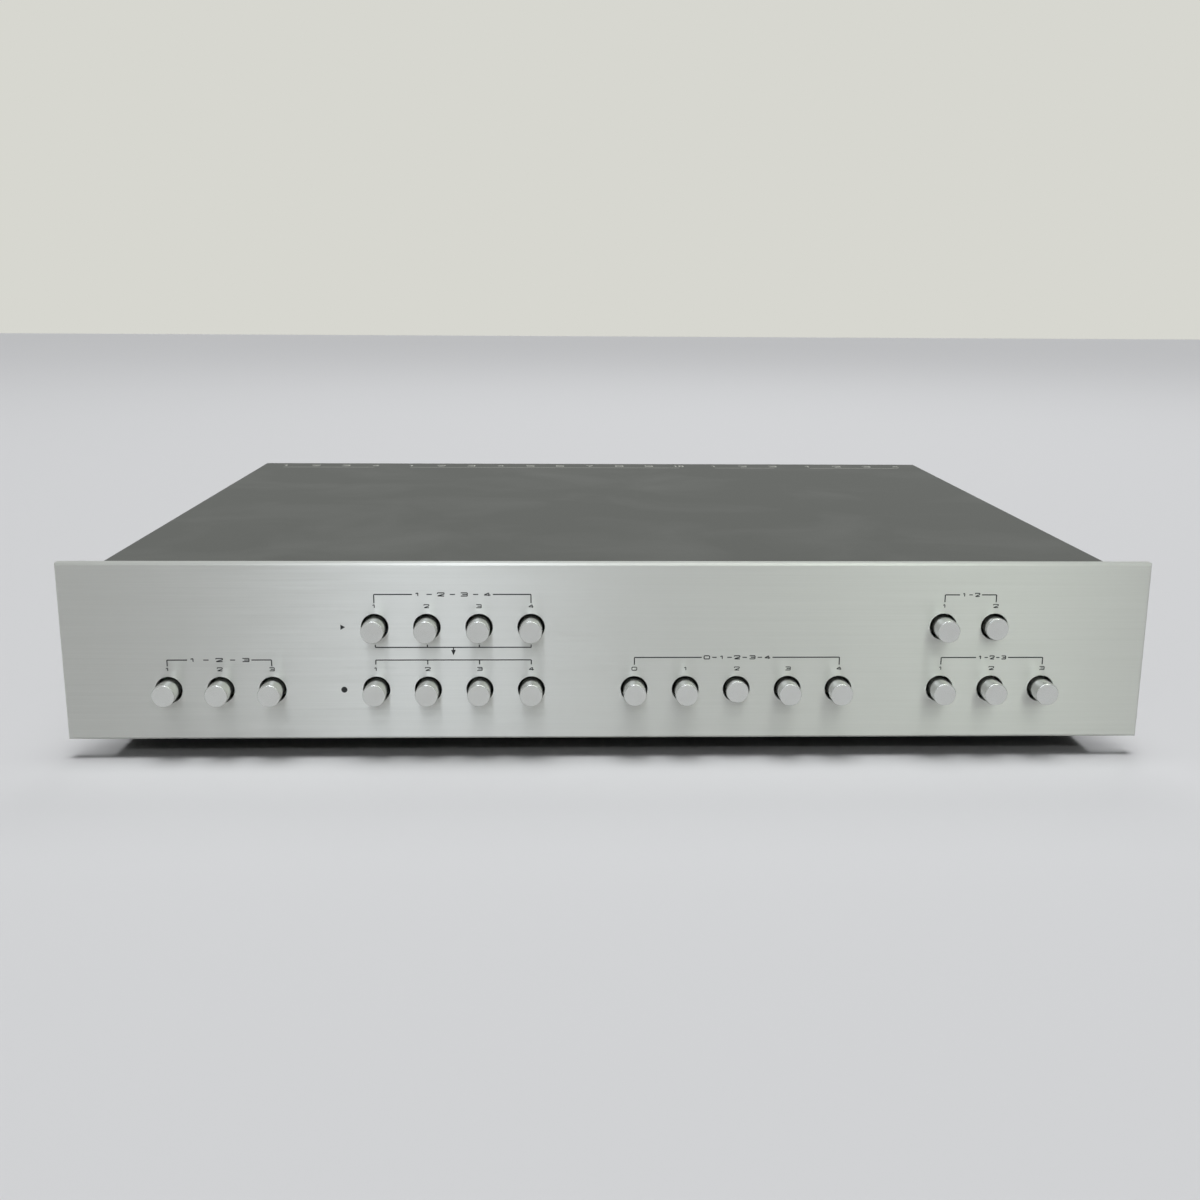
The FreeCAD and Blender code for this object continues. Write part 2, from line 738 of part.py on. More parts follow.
# Switch frames: folded steel brackets, a web with a square hole for each plunger between two
# legs whose feet are screwed to the sub-panel.
frames = []
for name, first, count, rows in FRAMES:
    frame = new_body(f"{name}_frame")
    half = frame_half(count)
    inside = f"({half} - frame_sheet)"
    tip = f"({half} + frame_foot)"
    web_inside = f"({WEB_REAR} - frame_sheet)"
    foot_rear = f"({SUB_REAR} + frame_sheet)"
    bottom = f"({rows[0]} - frame_height / 2)"
    fold = outline(
        flat(frame, "fold", middle_x(first, count), "0", bottom),
        (
            (f"-{tip}", SUB_REAR),
            (f"-{inside}", SUB_REAR),
            (f"-{inside}", web_inside),
            (inside, web_inside),
            (inside, SUB_REAR),
            (tip, SUB_REAR),
            (tip, foot_rear),
            (half, foot_rear),
            (half, WEB_REAR),
            (f"-{half}", WEB_REAR),
            (f"-{half}", foot_rear),
            (f"-{tip}", foot_rear),
        ),
    )
    pad(frame, "folded", fold, f"frame_height + {rows[-1]} - {rows[0]}")
    for number, row in enumerate(rows):
        drawing = rectangle(
            upright(frame, f"rod_hole_{number}", first, WEB_FRONT, row), ROD_HOLE, ROD_HOLE
        )
        cut = pocket(frame, f"rod_cut_{number}", drawing, "frame_sheet")
        spread(frame, f"rod_holes_{number}", cut, count, "column_pitch")
        left = foot_x(first, count, "-")
        drawing = circle(upright(frame, f"screw_{number}", left, SUB_REAR, row), SCREW_HOLE)
        cut = pocket(frame, f"screw_cut_{number}", drawing, "frame_sheet")
        spread(frame, f"screws_{number}", cut, 2, f"2 * {half} + frame_foot")
    frames.append((frame, "0", "0", "0", NO_TURN))
group("switch_frames", frames)

# Switch housing: moulded block behind the frame, with a slot across its front for the latch bar
# and a square way for the plunger, wider behind a stop. It is drawn on the plunger's axis.
housing = new_body("switch_housing")
block = rectangle(
    upright(housing, "block", "0", WEB_REAR, "0"), "housing_width", "housing_height"
)
pad(housing, "moulded", block, f"{HOUSING_REAR} - {WEB_REAR}", reverse=True)
slot = rectangle(
    upright(housing, "slot", "0", WEB_REAR, "0"), "housing_width", "bar_height + 2 * bar_gap"
)
pocket(housing, "slot_cut", slot, SLOT_DEPTH)
way = rectangle(upright(housing, "way", "0", f"{WEB_REAR} + {SLOT_DEPTH}", "0"), ROD_HOLE, ROD_HOLE)
pocket(housing, "way_cut", way, "housing_stop")
room = rectangle(
    upright(housing, "room", "0", STOP_REAR, "0"),
    "slider_side + 2 * rod_gap",
    "slider_side + 2 * rod_gap",
)
pocket(housing, "room_cut", room, f"{HOUSING_REAR} - {STOP_REAR}")
group(
    "switch_housings",
    [
        (housing, column_x(first, number), "0", row, NO_TURN)
        for _, first, count, row, _ in BUTTONS
        for number in range(count)
    ],
)

# Switch boards: one circuit board under each row of switches, behind the latch bars.
BOARD_FRONT = f"({WEB_REAR} + {SLOT_DEPTH})"
boards = []
for name, first, count, row, _ in BUTTONS:
    board = new_body(f"{name}_board")
    depth = f"({BOARD_FRONT} + {BOARD_REAR}) / 2"
    sheet_outline = rectangle(
        flat(
            board,
            "sheet",
            middle_x(first, count),
            depth,
            f"{row} - housing_height / 2 - board_thickness",
        ),
        f"{count - 1} * column_pitch + 2 * board_margin",
        f"{BOARD_REAR} - {BOARD_FRONT}",
    )
    pad(board, "laminate", sheet_outline, "board_thickness")
    boards.append((board, "0", "0", "0", NO_TURN))
group("switch_boards", boards)

# Latch bars: steel strips that slide sideways in the housings' slots, each with a window for
# every plunger. The input bar spans both rows of inputs, joined by a link between two columns.
BAR_FRONT = f"({WEB_REAR} + bar_gap)"


def bar_row(body, name, first, count, row):
    """One strip of a latch bar."""
    strip = rectangle(
        upright(body, f"{name}_strip", middle_x(first, count), BAR_FRONT, row),
        f"{count - 1} * column_pitch + 2 * bar_end",
        "bar_height",
    )
    return pad(body, f"{name}_pad", strip, "bar_thickness", reverse=True)


def bar_windows(body, name, first, count, row):
    """A window for each plunger, long enough for the bar's own travel."""
    window = rectangle(
        upright(body, f"{name}_window", f"{first} - bar_travel / 2", BAR_FRONT, row),
        f"{ROD_HOLE} + bar_travel",
        ROD_HOLE,
    )
    cut = pocket(body, f"{name}_window_cut", window, "bar_thickness")
    spread(body, f"{name}_windows", cut, count, "column_pitch")


monitor_bar = new_part("monitor_latch_bar")
bar_row(monitor_bar, "monitor", MONITOR_COLUMN, MONITOR_COUNT, LOWER)
bar_windows(monitor_bar, "monitor", MONITOR_COLUMN, MONITOR_COUNT, LOWER)
input_bar = new_part("input_latch_bar")
bar_row(input_bar, "phono", INPUT_COLUMN, PHONO_COUNT, LOWER)
link = rectangle(
    upright(
        input_bar,
        "link",
        f"{INPUT_COLUMN} + column_pitch / 2 - bar_travel / 2",
        BAR_FRONT,
        f"({LOWER} + {UPPER}) / 2",
    ),
    "bar_link_width",
    "row_pitch",
)
pad(input_bar, "link_pad", link, "bar_thickness", reverse=True)
bar_row(input_bar, "line", INPUT_COLUMN, LINE_COUNT, UPPER)
bar_windows(input_bar, "phono", INPUT_COLUMN, PHONO_COUNT, LOWER)
bar_windows(input_bar, "line", INPUT_COLUMN, LINE_COUNT, UPPER)

# Buttons and plungers. Each cap is a turned cylinder with a rounded rim and a square seat
# behind for its plunger. The plunger is a square rod with a collar behind the cap for the return
# spring, a slider inside the housing and a catch that the latch bar drops into. Both are drawn on
# the button's axis in the out position, and a button that is latched in stands one travel deeper.
for name, first, count, row, pressed in BUTTONS:
    for number in range(1, count + 1):
        shift = "button_travel" if number == pressed else "0"
        cap = new_part(f"{name}_button_{number}")
        seat(cap, column_x(first, number - 1), shift, row)
        profile = outline(
            flat(cap, "profile", "0", "0", "0"),
            (
                ("0", "-button_proud"),
                ("button_diameter / 2", "-button_proud"),
                ("button_diameter / 2", CAP_REAR),
                ("0", CAP_REAR),
            ),
        )
        turned = revolve(cap, "turned", profile)
        doc.recompute()
        face = turned.Shape.BoundBox.YMin
        face_edges = [
            f"Edge{place}"
            for place, edge in enumerate(turned.Shape.Edges, 1)
            if edge.BoundBox.YMax - face < SAME_PLACE
        ]
        rim = cap.newObject("PartDesign::Fillet", "rim")
        rim.Base = (turned, face_edges)
        bind(rim, "Radius", "button_edge")
        square = rectangle(
            upright(cap, "square", "0", f"{CAP_REAR} - rod_seat", "0"),
            "rod_side + 2 * rod_fit",
            "rod_side + 2 * rod_fit",
        )
        pocket(cap, "seat", square, "rod_seat")

        plunger = new_part(f"{name}_plunger_{number}")
        seat(plunger, column_x(first, number - 1), shift, row)
        rod_front = f"({CAP_REAR} - rod_seat)"
        rod = rectangle(upright(plunger, "rod", "0", rod_front, "0"), "rod_side", "rod_side")
        pad(plunger, "rod_pad", rod, f"{SLIDER_FRONT} - {rod_front}", reverse=True)
        collar = rectangle(
            upright(plunger, "collar", "0", CAP_REAR, "0"), COLLAR_SIDE, COLLAR_SIDE
        )
        pad(plunger, "collar_pad", collar, "collar_thickness", reverse=True)
        slider = rectangle(
            upright(plunger, "slider", "0", SLIDER_FRONT, "0"), "slider_side", "slider_side"
        )
        pad(plunger, "slider_pad", slider, "slider_length", reverse=True)
        catch = rectangle(
            upright(plunger, "catch", "rod_side / 2", f"{BAR_FRONT} - button_travel", "0"),
            "2 * catch_depth",
            "rod_side",
        )
        pocket(plunger, "catch_cut", catch, SLOT_DEPTH)

# Return springs: one round each plunger between its collar and the frame, shorter where the
# button is latched in. Each is drawn on the plunger's axis from its front end.
SPRING_FRONT = f"({CAP_REAR} + collar_thickness)"


def coil_spring(label, shift):
    """A round-wire compression spring, shortened by a formula."""
    spring = new_body(label)
    lift = "(spring_wire / 2 + spring_seat_gap)"
    wire = circle(
        flat(spring, "wire", SPRING_RADIUS, f"{SPRING_FRONT} + {shift} + {lift}", "0"),
        "spring_wire",
    )
    coil = spring.newObject("PartDesign::AdditiveHelix", "coil")
    coil.Profile = wire
    axis = next(item for item in spring.Origin.OriginFeatures if item.Role == "Y_Axis")
    coil.ReferenceAxis = (axis, [""])
    coil.Mode = 2
    bind(coil, "Turns", "spring_turns")
    bind(coil, "Height", f"{WEB_FRONT} - {SPRING_FRONT} - {shift} - 2 * {lift}")
    return spring


long_spring = coil_spring("long_spring", "0")
short_spring = coil_spring("short_spring", "button_travel")
group(
    "return_springs",
    [
        (
            short_spring if number + 1 == pressed else long_spring,
            column_x(first, number),
            "0",
            row,
            NO_TURN,
        )
        for _, first, count, row, pressed in BUTTONS
        for number in range(count)
    ],
)

# Feet: four moulded rubber feet, each with a recess for its screw's head.
foot = new_body("foot")
profile = outline(
    sketch(foot, "profile", "XZ_Plane"),
    (
        (f"{SCREW_HOLE} / 2", "-foot_height + foot_recess_depth"),
        ("foot_recess_diameter / 2", "-foot_height + foot_recess_depth"),
        ("foot_recess_diameter / 2", "-foot_height"),
        ("foot_diameter / 2 - foot_edge", "-foot_height"),
        ("foot_diameter / 2", "-foot_height + foot_edge"),
        ("foot_diameter / 2", "0"),
        (f"{SCREW_HOLE} / 2", "0"),
    ),
)
revolve(foot, "moulded", profile)
FOOT_PLACES = [
    (across, depth)
    for across in (f"-{FOOT_X}", FOOT_X)
    for depth in ("foot_end_inset", f"(foot_end_inset + {FOOT_SPACING})")
]
group("feet", [(foot, x, depth, "0", NO_TURN) for x, depth in FOOT_PLACES])

# Screws: all alike, a pan head with a cross recess. The master points to the front, its head
# resting on depth 0.
screw = new_body("screw")
profile = outline(
    flat(screw, "profile", "0", "0", "0"),
    (
        ("0", "-screw_length"),
        ("screw_diameter / 2", "-screw_length"),
        ("screw_diameter / 2", "0"),
        ("screw_head_diameter / 2", "0"),
        ("screw_head_diameter / 2", "screw_head_height / 2"),
        ("screw_head_diameter / 4", "screw_head_height"),
        ("0", "screw_head_height"),
    ),
)
revolve(screw, "turned", profile)
for name, width, height in (
    ("level", "screw_slot_length", "screw_slot_width"),
    ("plumb", "screw_slot_width", "screw_slot_length"),
):
    bar = rectangle(
        upright(screw, name, "0", "screw_head_height - screw_slot_depth", "0"), width, height
    )
    pocket(screw, f"{name}_cut", bar, "screw_slot_depth")
TO_LEFT = Rotation(Vector(0, 0, 1), -90)
TO_RIGHT = Rotation(Vector(0, 0, 1), 90)
UPWARDS = Rotation(Vector(1, 0, 0), -90)

screws = []
for across in EDGE_SCREW_COLUMNS:
    screws.append((screw, across, f"({SUB_REAR} + tray_sheet)", EDGE_SCREW_ROWS[0], NO_TURN))
    screws.append((screw, across, SUB_REAR, EDGE_SCREW_ROWS[1], NO_TURN))
    screws.append((screw, across, "case_depth", EDGE_SCREW_ROWS[0], NO_TURN))
for across, height, _ in FRAME_SCREW_HOLES:
    screws.append((screw, across, f"({SUB_REAR} + frame_sheet)", height, NO_TURN))
for number, (_, columns) in enumerate(JACKS):
    for column in (0, columns - 2):
        across = f"({jack_x(number, column)} + jack_pitch / 2)"
        screws.append((screw, across, "case_depth", JACK_SCREW_Z, NO_TURN))
for x, depth in FOOT_PLACES:
    screws.append((screw, x, depth, "(foot_recess_depth - foot_height)", UPWARDS))
for depth in ("cover_screw_inset", f"(cover_screw_inset + {COVER_SCREW_SPACING})"):
    screws.append((screw, f"{COVER_WIDTH} / 2", depth, "cover_screw_height", TO_LEFT))
    screws.append((screw, f"-{COVER_WIDTH} / 2", depth, "cover_screw_height", TO_RIGHT))
group("screws", screws)

# Wiring looms: screened cables bound together, one from the jack boards to each switch board.
# Each leaves its jack board level, comes down to the tray, runs forward along its floor and rises
# to the rear edge of its switch board. The runs are joined by arcs that touch them.


def arc_radius(before, corner, after):
    """The largest arc at a corner that leaves each run a tenth of its length straight."""
    shorter = min((corner - before).Length, (after - corner).Length)
    turn = (corner - before).getAngle(after - corner)
    return ARC_SHARE * shorter / math.tan(turn / 2)


def round_route(points):
    """A wire of straight runs joined by arcs, and the radii of the arcs."""
    edges = []
    radii = []
    last = points[0]
    for before, corner, after in zip(points, points[1:], points[2:]):
        radius = arc_radius(before, corner, after)
        way_in = (corner - before).normalize()
        way_out = (after - corner).normalize()
        turn = way_in.getAngle(way_out)
        setback = radius * math.tan(turn / 2)
        start = corner - way_in * setback
        end = corner + way_out * setback
        inward = (way_out - way_in).normalize()
        middle = corner + inward * (radius / math.cos(turn / 2) - radius)
        edges.append(Part.LineSegment(last, start).toShape())
        edges.append(Part.Arc(start, middle, end).toShape())
        radii.append(radius)
        last = end
    edges.append(Part.LineSegment(last, points[-1]).toShape())
    return Part.Wire(edges), radii


# Share of the shorter run beside a corner that its arc takes.
ARC_SHARE = 0.45

# Each loom: the connector column where it starts, and the middle of its switch board.
LOOMS = (
    (jack_x(0, 2), middle_x(AMP_COLUMN, AMP_COUNT), LOWER),
    (jack_x(1, 2), column_x(TAPE_COLUMN, 0.5), LOWER),
    (jack_x(1, 5), column_x(TAPE_COLUMN, 2.5), UPPER),
    (jack_x(1, 8), middle_x(MONITOR_COLUMN, MONITOR_COUNT), LOWER),
    (jack_x(2, 1), column_x(INPUT_COLUMN, 0.25), UPPER),
    (jack_x(3, 2), column_x(INPUT_COLUMN, 1.5), LOWER),
)

# The bends of a loom: the share of the way forward to each, and the share of the way across.
LEVEL_END = (0.10, 0.0)
FLOOR_START = (0.25, 0.1)
FLOOR_MIDDLE = (0.50, 0.4)
FLOOR_END = (0.76, 1.0)
RISE_END = (0.90, 1.0)

# The ends and heights of the looms, as figures that follow the sizes.
figures = doc.addObject("App::FeaturePython", "LoomFigures")
for name, formula in (
    ("radius", "loom_diameter / 2"),
    ("rear", JACK_BOARD_INSIDE),
    ("front", BOARD_REAR),
    ("start_height", JACK_SCREW_Z),
    ("floor_height", "tray_sheet + loom_gap + loom_diameter / 2"),
):
    figures.addProperty("App::PropertyFloat", name)
    bind(figures, name, formula)
for number, (start_x, end_x, row) in enumerate(LOOMS):
    for name, formula in (
        ("start", start_x),
        ("end", end_x),
        ("end_height", f"{row} - (housing_height + board_thickness) / 2"),
    ):
        figures.addProperty("App::PropertyFloat", f"{name}_{number}")
        bind(figures, f"{name}_{number}", formula)
doc.recompute()


def loom_point(number, share, height):
    """A point of a loom's route, at the shares of the way forward and across."""
    forward, across = share
    start_x = getattr(figures, f"start_{number}")
    end_x = getattr(figures, f"end_{number}")
    depth = figures.rear - forward * (figures.rear - figures.front)
    return Vector(start_x + across * (end_x - start_x), depth, height)


looms = []
for number in range(len(LOOMS)):
    end_height = getattr(figures, f"end_height_{number}")
    route = [
        loom_point(number, (0, 0), figures.start_height),
        loom_point(number, LEVEL_END, figures.start_height),
        loom_point(number, FLOOR_START, figures.floor_height),
        loom_point(number, FLOOR_MIDDLE, figures.floor_height),
        loom_point(number, FLOOR_END, figures.floor_height),
        loom_point(number, RISE_END, end_height),
        loom_point(number, (1, 1), end_height),
    ]
    path, radii = round_route(route)
    section = Part.Wire(Part.Circle(route[0], Vector(0, -1, 0), figures.radius).toShape())
    tube = path.makePipeShell([section], True, False)
    if tube.Volume < 0:
        tube.reverse()
    expected = math.pi * figures.radius**2 * path.Length
    print("loom", [round(radius, 1) for radius in radii], round(tube.Volume / expected, 4))
    looms.append(tube)
wiring = doc.addObject("Part::Feature", "wiring_looms")
wiring.Label = "wiring_looms"
wiring.Shape = Part.Compound(looms)
seat(wiring)
parts.append(wiring)

doc.recompute()

# Every object has to be sound, and every cut has to remove something, before a file is written.
for item in doc.Objects:
    if "Invalid" in item.State or "Error" in item.State:
        raise RuntimeError(f"{item.Label} failed: {item.State}")
    if item.TypeId in ("PartDesign::Pocket", "PartDesign::LinearPattern", "PartDesign::PolarPattern"):
        removed = item.BaseFeature.Shape.Volume - item.Shape.Volume
        if removed <= 0:
            raise RuntimeError(f"{item.Label} cuts nothing")

os.makedirs("parts", exist_ok=True)
for item in parts:
    if item.Shape.isNull() or not item.Shape.isValid():
        raise RuntimeError(f"{item.Label} has no valid shape")
    item.Shape.exportStep(f"parts/{item.Label}.step")
print(len(parts), "sub-parts")
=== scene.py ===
"""Looks of an audio source selector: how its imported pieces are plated, painted and printed."""
import math

import bpy
from mathutils import Matrix, Vector


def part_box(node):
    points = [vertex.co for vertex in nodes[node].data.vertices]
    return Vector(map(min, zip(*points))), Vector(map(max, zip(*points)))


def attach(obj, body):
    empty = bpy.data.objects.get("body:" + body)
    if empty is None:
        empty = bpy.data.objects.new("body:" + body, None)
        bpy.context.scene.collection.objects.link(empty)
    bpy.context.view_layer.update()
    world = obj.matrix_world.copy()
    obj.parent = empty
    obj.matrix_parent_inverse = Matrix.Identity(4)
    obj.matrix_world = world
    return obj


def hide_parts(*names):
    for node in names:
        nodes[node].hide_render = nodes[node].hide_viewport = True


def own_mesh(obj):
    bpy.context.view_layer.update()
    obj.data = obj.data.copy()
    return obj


# The frame: the imported pieces, in metres. Sizes below are real millimetres, which MM turns
# into metres.
MM = 0.001
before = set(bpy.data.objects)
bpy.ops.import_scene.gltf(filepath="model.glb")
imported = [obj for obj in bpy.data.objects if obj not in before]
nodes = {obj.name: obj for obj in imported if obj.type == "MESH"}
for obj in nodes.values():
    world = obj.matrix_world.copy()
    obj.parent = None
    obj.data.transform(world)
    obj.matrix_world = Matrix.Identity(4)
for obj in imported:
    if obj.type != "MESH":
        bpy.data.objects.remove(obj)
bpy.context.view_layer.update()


# Chassis: the sub-panel and the switch frames are punched and folded from mild steel, zinc plated
# and clear passivated, a dull grey with a faint yellow cloud over the fine lines of the mill.
# The bottom tray has the same plating, black passivated, so its underside keeps the shadow dark.
def colour(code):
    """A hex sRGB colour as the linear one that a shader takes."""
    shares = [int(code[place : place + 2], 16) / 255 for place in (0, 2, 4)]
    linear = [c / 12.92 if c <= 0.04045 else ((c + 0.055) / 1.055) ** 2.4 for c in shares]
    return (*linear, 1.0)


def add(tree, kind, settings=None, links=None):
    """Adds a node. Lower-case settings are its properties, the others are values of its inputs."""
    node = tree.nodes.new(kind)
    for key, value in (settings or {}).items():
        if isinstance(key, str) and key[0].islower():
            setattr(node, key, value)
        else:
            node.inputs[key].default_value = value
    for key, socket in (links or {}).items():
        tree.links.new(socket, node.inputs[key])
    return node


def blank(name):
    """A material without nodes, its tree, and the socket of its Object coordinates."""
    material = bpy.data.materials.new(name)
    material.use_nodes = True
    tree = material.node_tree
    tree.nodes.clear()
    return material, tree, add(tree, "ShaderNodeTexCoord").outputs["Object"]


def dress(material, *names):
    """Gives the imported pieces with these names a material."""
    for name in names:
        nodes[name].material_slots[0].material = material


# Where a Mix node has its two colour inputs and its colour output.
COLOUR_A, COLOUR_B, MIXED = 6, 7, 2
PLATING_CLOUD = 35 * MM
# The mill's lines are about 0.1 mm wide, too fine to show, so they are drawn wider.
ROLLING_LINE = 0.6 * MM
ROLLING_RUN = 40 * MM
ROLLING_DEPTH = 0.02 * MM


def plated_sheet(name, dull, cloudy):
    """Zinc plated sheet steel, in a tone between these two colours."""
    material, tree, place = blank(name)
    cloud = add(
        tree, "ShaderNodeTexNoise", {"Scale": 1 / PLATING_CLOUD, "Detail": 3.0}, {"Vector": place}
    )
    tone = add(
        tree,
        "ShaderNodeMix",
        {"data_type": "RGBA", COLOUR_A: colour(dull), COLOUR_B: colour(cloudy)},
        {"Factor": cloud.outputs["Fac"]},
    )
    rolled = add(
        tree,
        "ShaderNodeMapping",
        {"Scale": (1 / ROLLING_RUN, 1 / ROLLING_LINE, 1 / ROLLING_LINE)},
        {"Vector": place},
    )
    grain = add(
        tree,
        "ShaderNodeTexNoise",
        {"Scale": 1.0, "Detail": 3.0},
        {"Vector": rolled.outputs["Vector"]},
    )
    rough = add(
        tree, "ShaderNodeMapRange", {"To Min": 0.32, "To Max": 0.5}, {"Value": grain.outputs["Fac"]}
    )
    bump = add(
        tree,
        "ShaderNodeBump",
        {"Strength": 0.3, "Distance": ROLLING_DEPTH},
        {"Height": grain.outputs["Fac"]},
    )
    shader = add(
        tree,
        "ShaderNodeBsdfPrincipled",
        {"Metallic": 1.0},
        {
            "Base Color": tone.outputs[MIXED],
            "Roughness": rough.outputs["Result"],
            "Normal": bump.outputs["Normal"],
        },
    )
    add(tree, "ShaderNodeOutputMaterial", links={"Surface": shader.outputs["BSDF"]})
    return material


dress(plated_sheet("clear passivated zinc plate", "8C8D88", "A2A297"), "sub_panel", "switch_frames")
dress(plated_sheet("black passivated zinc plate", "2A2B2A", "383734"), "bottom_tray")


# Feet: black rubber, moulded, with the dull even grain of the mould and a little dust in it. Each
# has a screw in its recess, which holds it to the tray.
# The mould's grain is about 0.2 mm wide, too fine to show, so it is drawn coarser.
RUBBER_GRAIN = 0.5 * MM
RUBBER_DEPTH = 0.04 * MM
DUST_PATCH = 6 * MM

rubber, tree, place = blank("moulded rubber")
grain = add(
    tree, "ShaderNodeTexNoise", {"Scale": 1 / RUBBER_GRAIN, "Detail": 2.0}, {"Vector": place}
)
dust = add(tree, "ShaderNodeTexNoise", {"Scale": 1 / DUST_PATCH, "Detail": 4.0}, {"Vector": place})
tone = add(
    tree,
    "ShaderNodeMix",
    {"data_type": "RGBA", COLOUR_A: colour("1B1B1C"), COLOUR_B: colour("343433")},
    {"Factor": dust.outputs["Fac"]},
)
bump = add(
    tree,
    "ShaderNodeBump",
    {"Strength": 0.4, "Distance": RUBBER_DEPTH},
    {"Height": grain.outputs["Fac"]},
)
shader = add(
    tree,
    "ShaderNodeBsdfPrincipled",
    {"Roughness": 0.72, "Specular IOR Level": 0.35},
    {"Base Color": tone.outputs[MIXED], "Normal": bump.outputs["Normal"]},
)
add(tree, "ShaderNodeOutputMaterial", links={"Surface": shader.outputs["BSDF"]})
dress(rubber, "feet")


# Switch housings: black phenolic mouldings, which keep a slight gloss from the mould and show
# the flow of the filled resin as faint mottling.
# The mould's grain is about 0.1 mm wide, too fine to show, so it is drawn coarser.
MOULD_GRAIN = 0.35 * MM
MOULD_DEPTH = 0.02 * MM
RESIN_FLOW = 8 * MM

phenolic, tree, place = blank("moulded phenolic")
flow = add(
    tree,
    "ShaderNodeTexNoise",
    {"Scale": 1 / RESIN_FLOW, "Detail": 4.0, "Distortion": 1.0},
    {"Vector": place},
)
grain = add(
    tree, "ShaderNodeTexNoise", {"Scale": 1 / MOULD_GRAIN, "Detail": 2.0}, {"Vector": place}
)
tone = add(
    tree,
    "ShaderNodeMix",
    {"data_type": "RGBA", COLOUR_A: colour("18181A"), COLOUR_B: colour("2A292A")},
    {"Factor": flow.outputs["Fac"]},
)
rough = add(
    tree, "ShaderNodeMapRange", {"To Min": 0.36, "To Max": 0.52}, {"Value": flow.outputs["Fac"]}
)
bump = add(
    tree,
    "ShaderNodeBump",
    {"Strength": 0.25, "Distance": MOULD_DEPTH},
    {"Height": grain.outputs["Fac"]},
)
shader = add(
    tree,
    "ShaderNodeBsdfPrincipled",
    links={
        "Base Color": tone.outputs[MIXED],
        "Roughness": rough.outputs["Result"],
        "Normal": bump.outputs["Normal"],
    },
)
add(tree, "ShaderNodeOutputMaterial", links={"Surface": shader.outputs["BSDF"]})
dress(phenolic, "switch_housings")


# Plungers: natural acetal, moulded, a waxy off-white that lets a little light in. One slides in
# each switch housing and carries a cap on its front end.
LIGHT_REACH = 1.5 * MM

buttons = [name for name in nodes if "_button_" in name]
plungers = [name for name in nodes if "_plunger_" in name]

acetal, tree, place = blank("moulded acetal")
flow = add(tree, "ShaderNodeTexNoise", {"Scale": 1 / RESIN_FLOW, "Detail": 2.0}, {"Vector": place})
tone = add(
    tree,
    "ShaderNodeMix",
    {"data_type": "RGBA", COLOUR_A: colour("D9D5C6"), COLOUR_B: colour("E6E3D8")},
    {"Factor": flow.outputs["Fac"]},
)
shader = add(
    tree,
    "ShaderNodeBsdfPrincipled",
    {"Roughness": 0.38, "Subsurface Weight": 0.15, "Subsurface Scale": LIGHT_REACH, "IOR": 1.48},
    {"Base Color": tone.outputs[MIXED]},
)
add(tree, "ShaderNodeOutputMaterial", links={"Surface": shader.outputs["BSDF"]})
dress(acetal, *plungers)


# Latch bars: spring steel strip, stamped and bright plated. They slide behind the sub-panel, and
# each holds in one of the buttons that it serves.
# The strip's own lines are about 0.05 mm wide, too fine to show, so they are drawn wider.
STAMPING_LINE = 0.4 * MM
STAMPING_RUN = 15 * MM

bright, tree, place = blank("bright plated steel")
drawn = add(
    tree,
    "ShaderNodeMapping",
    {"Scale": (1 / STAMPING_RUN, 1 / STAMPING_LINE, 1 / STAMPING_LINE)},
    {"Vector": place},
)
grain = add(
    tree, "ShaderNodeTexNoise", {"Scale": 1.0, "Detail": 2.0}, {"Vector": drawn.outputs["Vector"]}
)
rough = add(
    tree, "ShaderNodeMapRange", {"To Min": 0.2, "To Max": 0.34}, {"Value": grain.outputs["Fac"]}
)
shader = add(
    tree,
    "ShaderNodeBsdfPrincipled",
    {"Metallic": 1.0, "Base Color": colour("C3C4C6")},
    {"Roughness": rough.outputs["Result"]},
)
add(tree, "ShaderNodeOutputMaterial", links={"Surface": shader.outputs["BSDF"]})
dress(bright, "monitor_latch_bar", "input_latch_bar")


# Return springs: steel music wire, cold coiled, five turns round each plunger between its collar
# and the switch frame. A real one closes up as its own button goes in. Those of the two buttons
# that are in stay as they are, and leave room for the last of the way. Each is drawn as a piece of
# its own from its button's place, so those of the two buttons that are in are drawn shorter and
# leave room for the last of the way.
def new_tree(name, **inputs):
    """A geometry node tree with inputs of these kinds, and the sockets that give their values."""
    tree = bpy.data.node_groups.new(name, "GeometryNodeTree")
    for label, kind in inputs.items():
        tree.interface.new_socket(label, in_out="INPUT", socket_type=f"NodeSocket{kind}")
    tree.interface.new_socket("Shape", in_out="OUTPUT", socket_type="NodeSocketGeometry")
    return tree, add(tree, "NodeGroupInput").outputs


def end_tree(tree, shape, material):
    """Ends a tree: its copies are made real and its material set."""
    real = add(tree, "GeometryNodeRealizeInstances", links={"Geometry": shape})
    clad = add(
        tree,
        "GeometryNodeSetMaterial",
        links={"Geometry": real.outputs["Geometry"], "Material": material},
    )
    add(tree, "NodeGroupOutput", links={"Shape": clad.outputs["Geometry"]})


def grow(name, tree, seat, host=None, smooth=False, **values):
    """The plain mesh piece that a tree makes from a host mesh and these values, put in its seat."""
    holder = bpy.data.objects.new(name, host or bpy.data.meshes.new(name))
    bpy.context.scene.collection.objects.link(holder)
    modifier = holder.modifiers.new("shape", "NODES")
    modifier.node_group = tree
    for socket in tree.interface.items_tree:
        if socket.name in values:
            modifier[socket.identifier] = values[socket.name]
    depsgraph = bpy.context.evaluated_depsgraph_get()
    mesh = bpy.data.meshes.new_from_object(holder.evaluated_get(depsgraph))
    mesh.transform(seat)
    if smooth:
        mesh.shade_smooth()
    bpy.data.objects.remove(holder)
    piece = bpy.data.objects.new(name, mesh)
    bpy.context.scene.collection.objects.link(piece)
    return piece


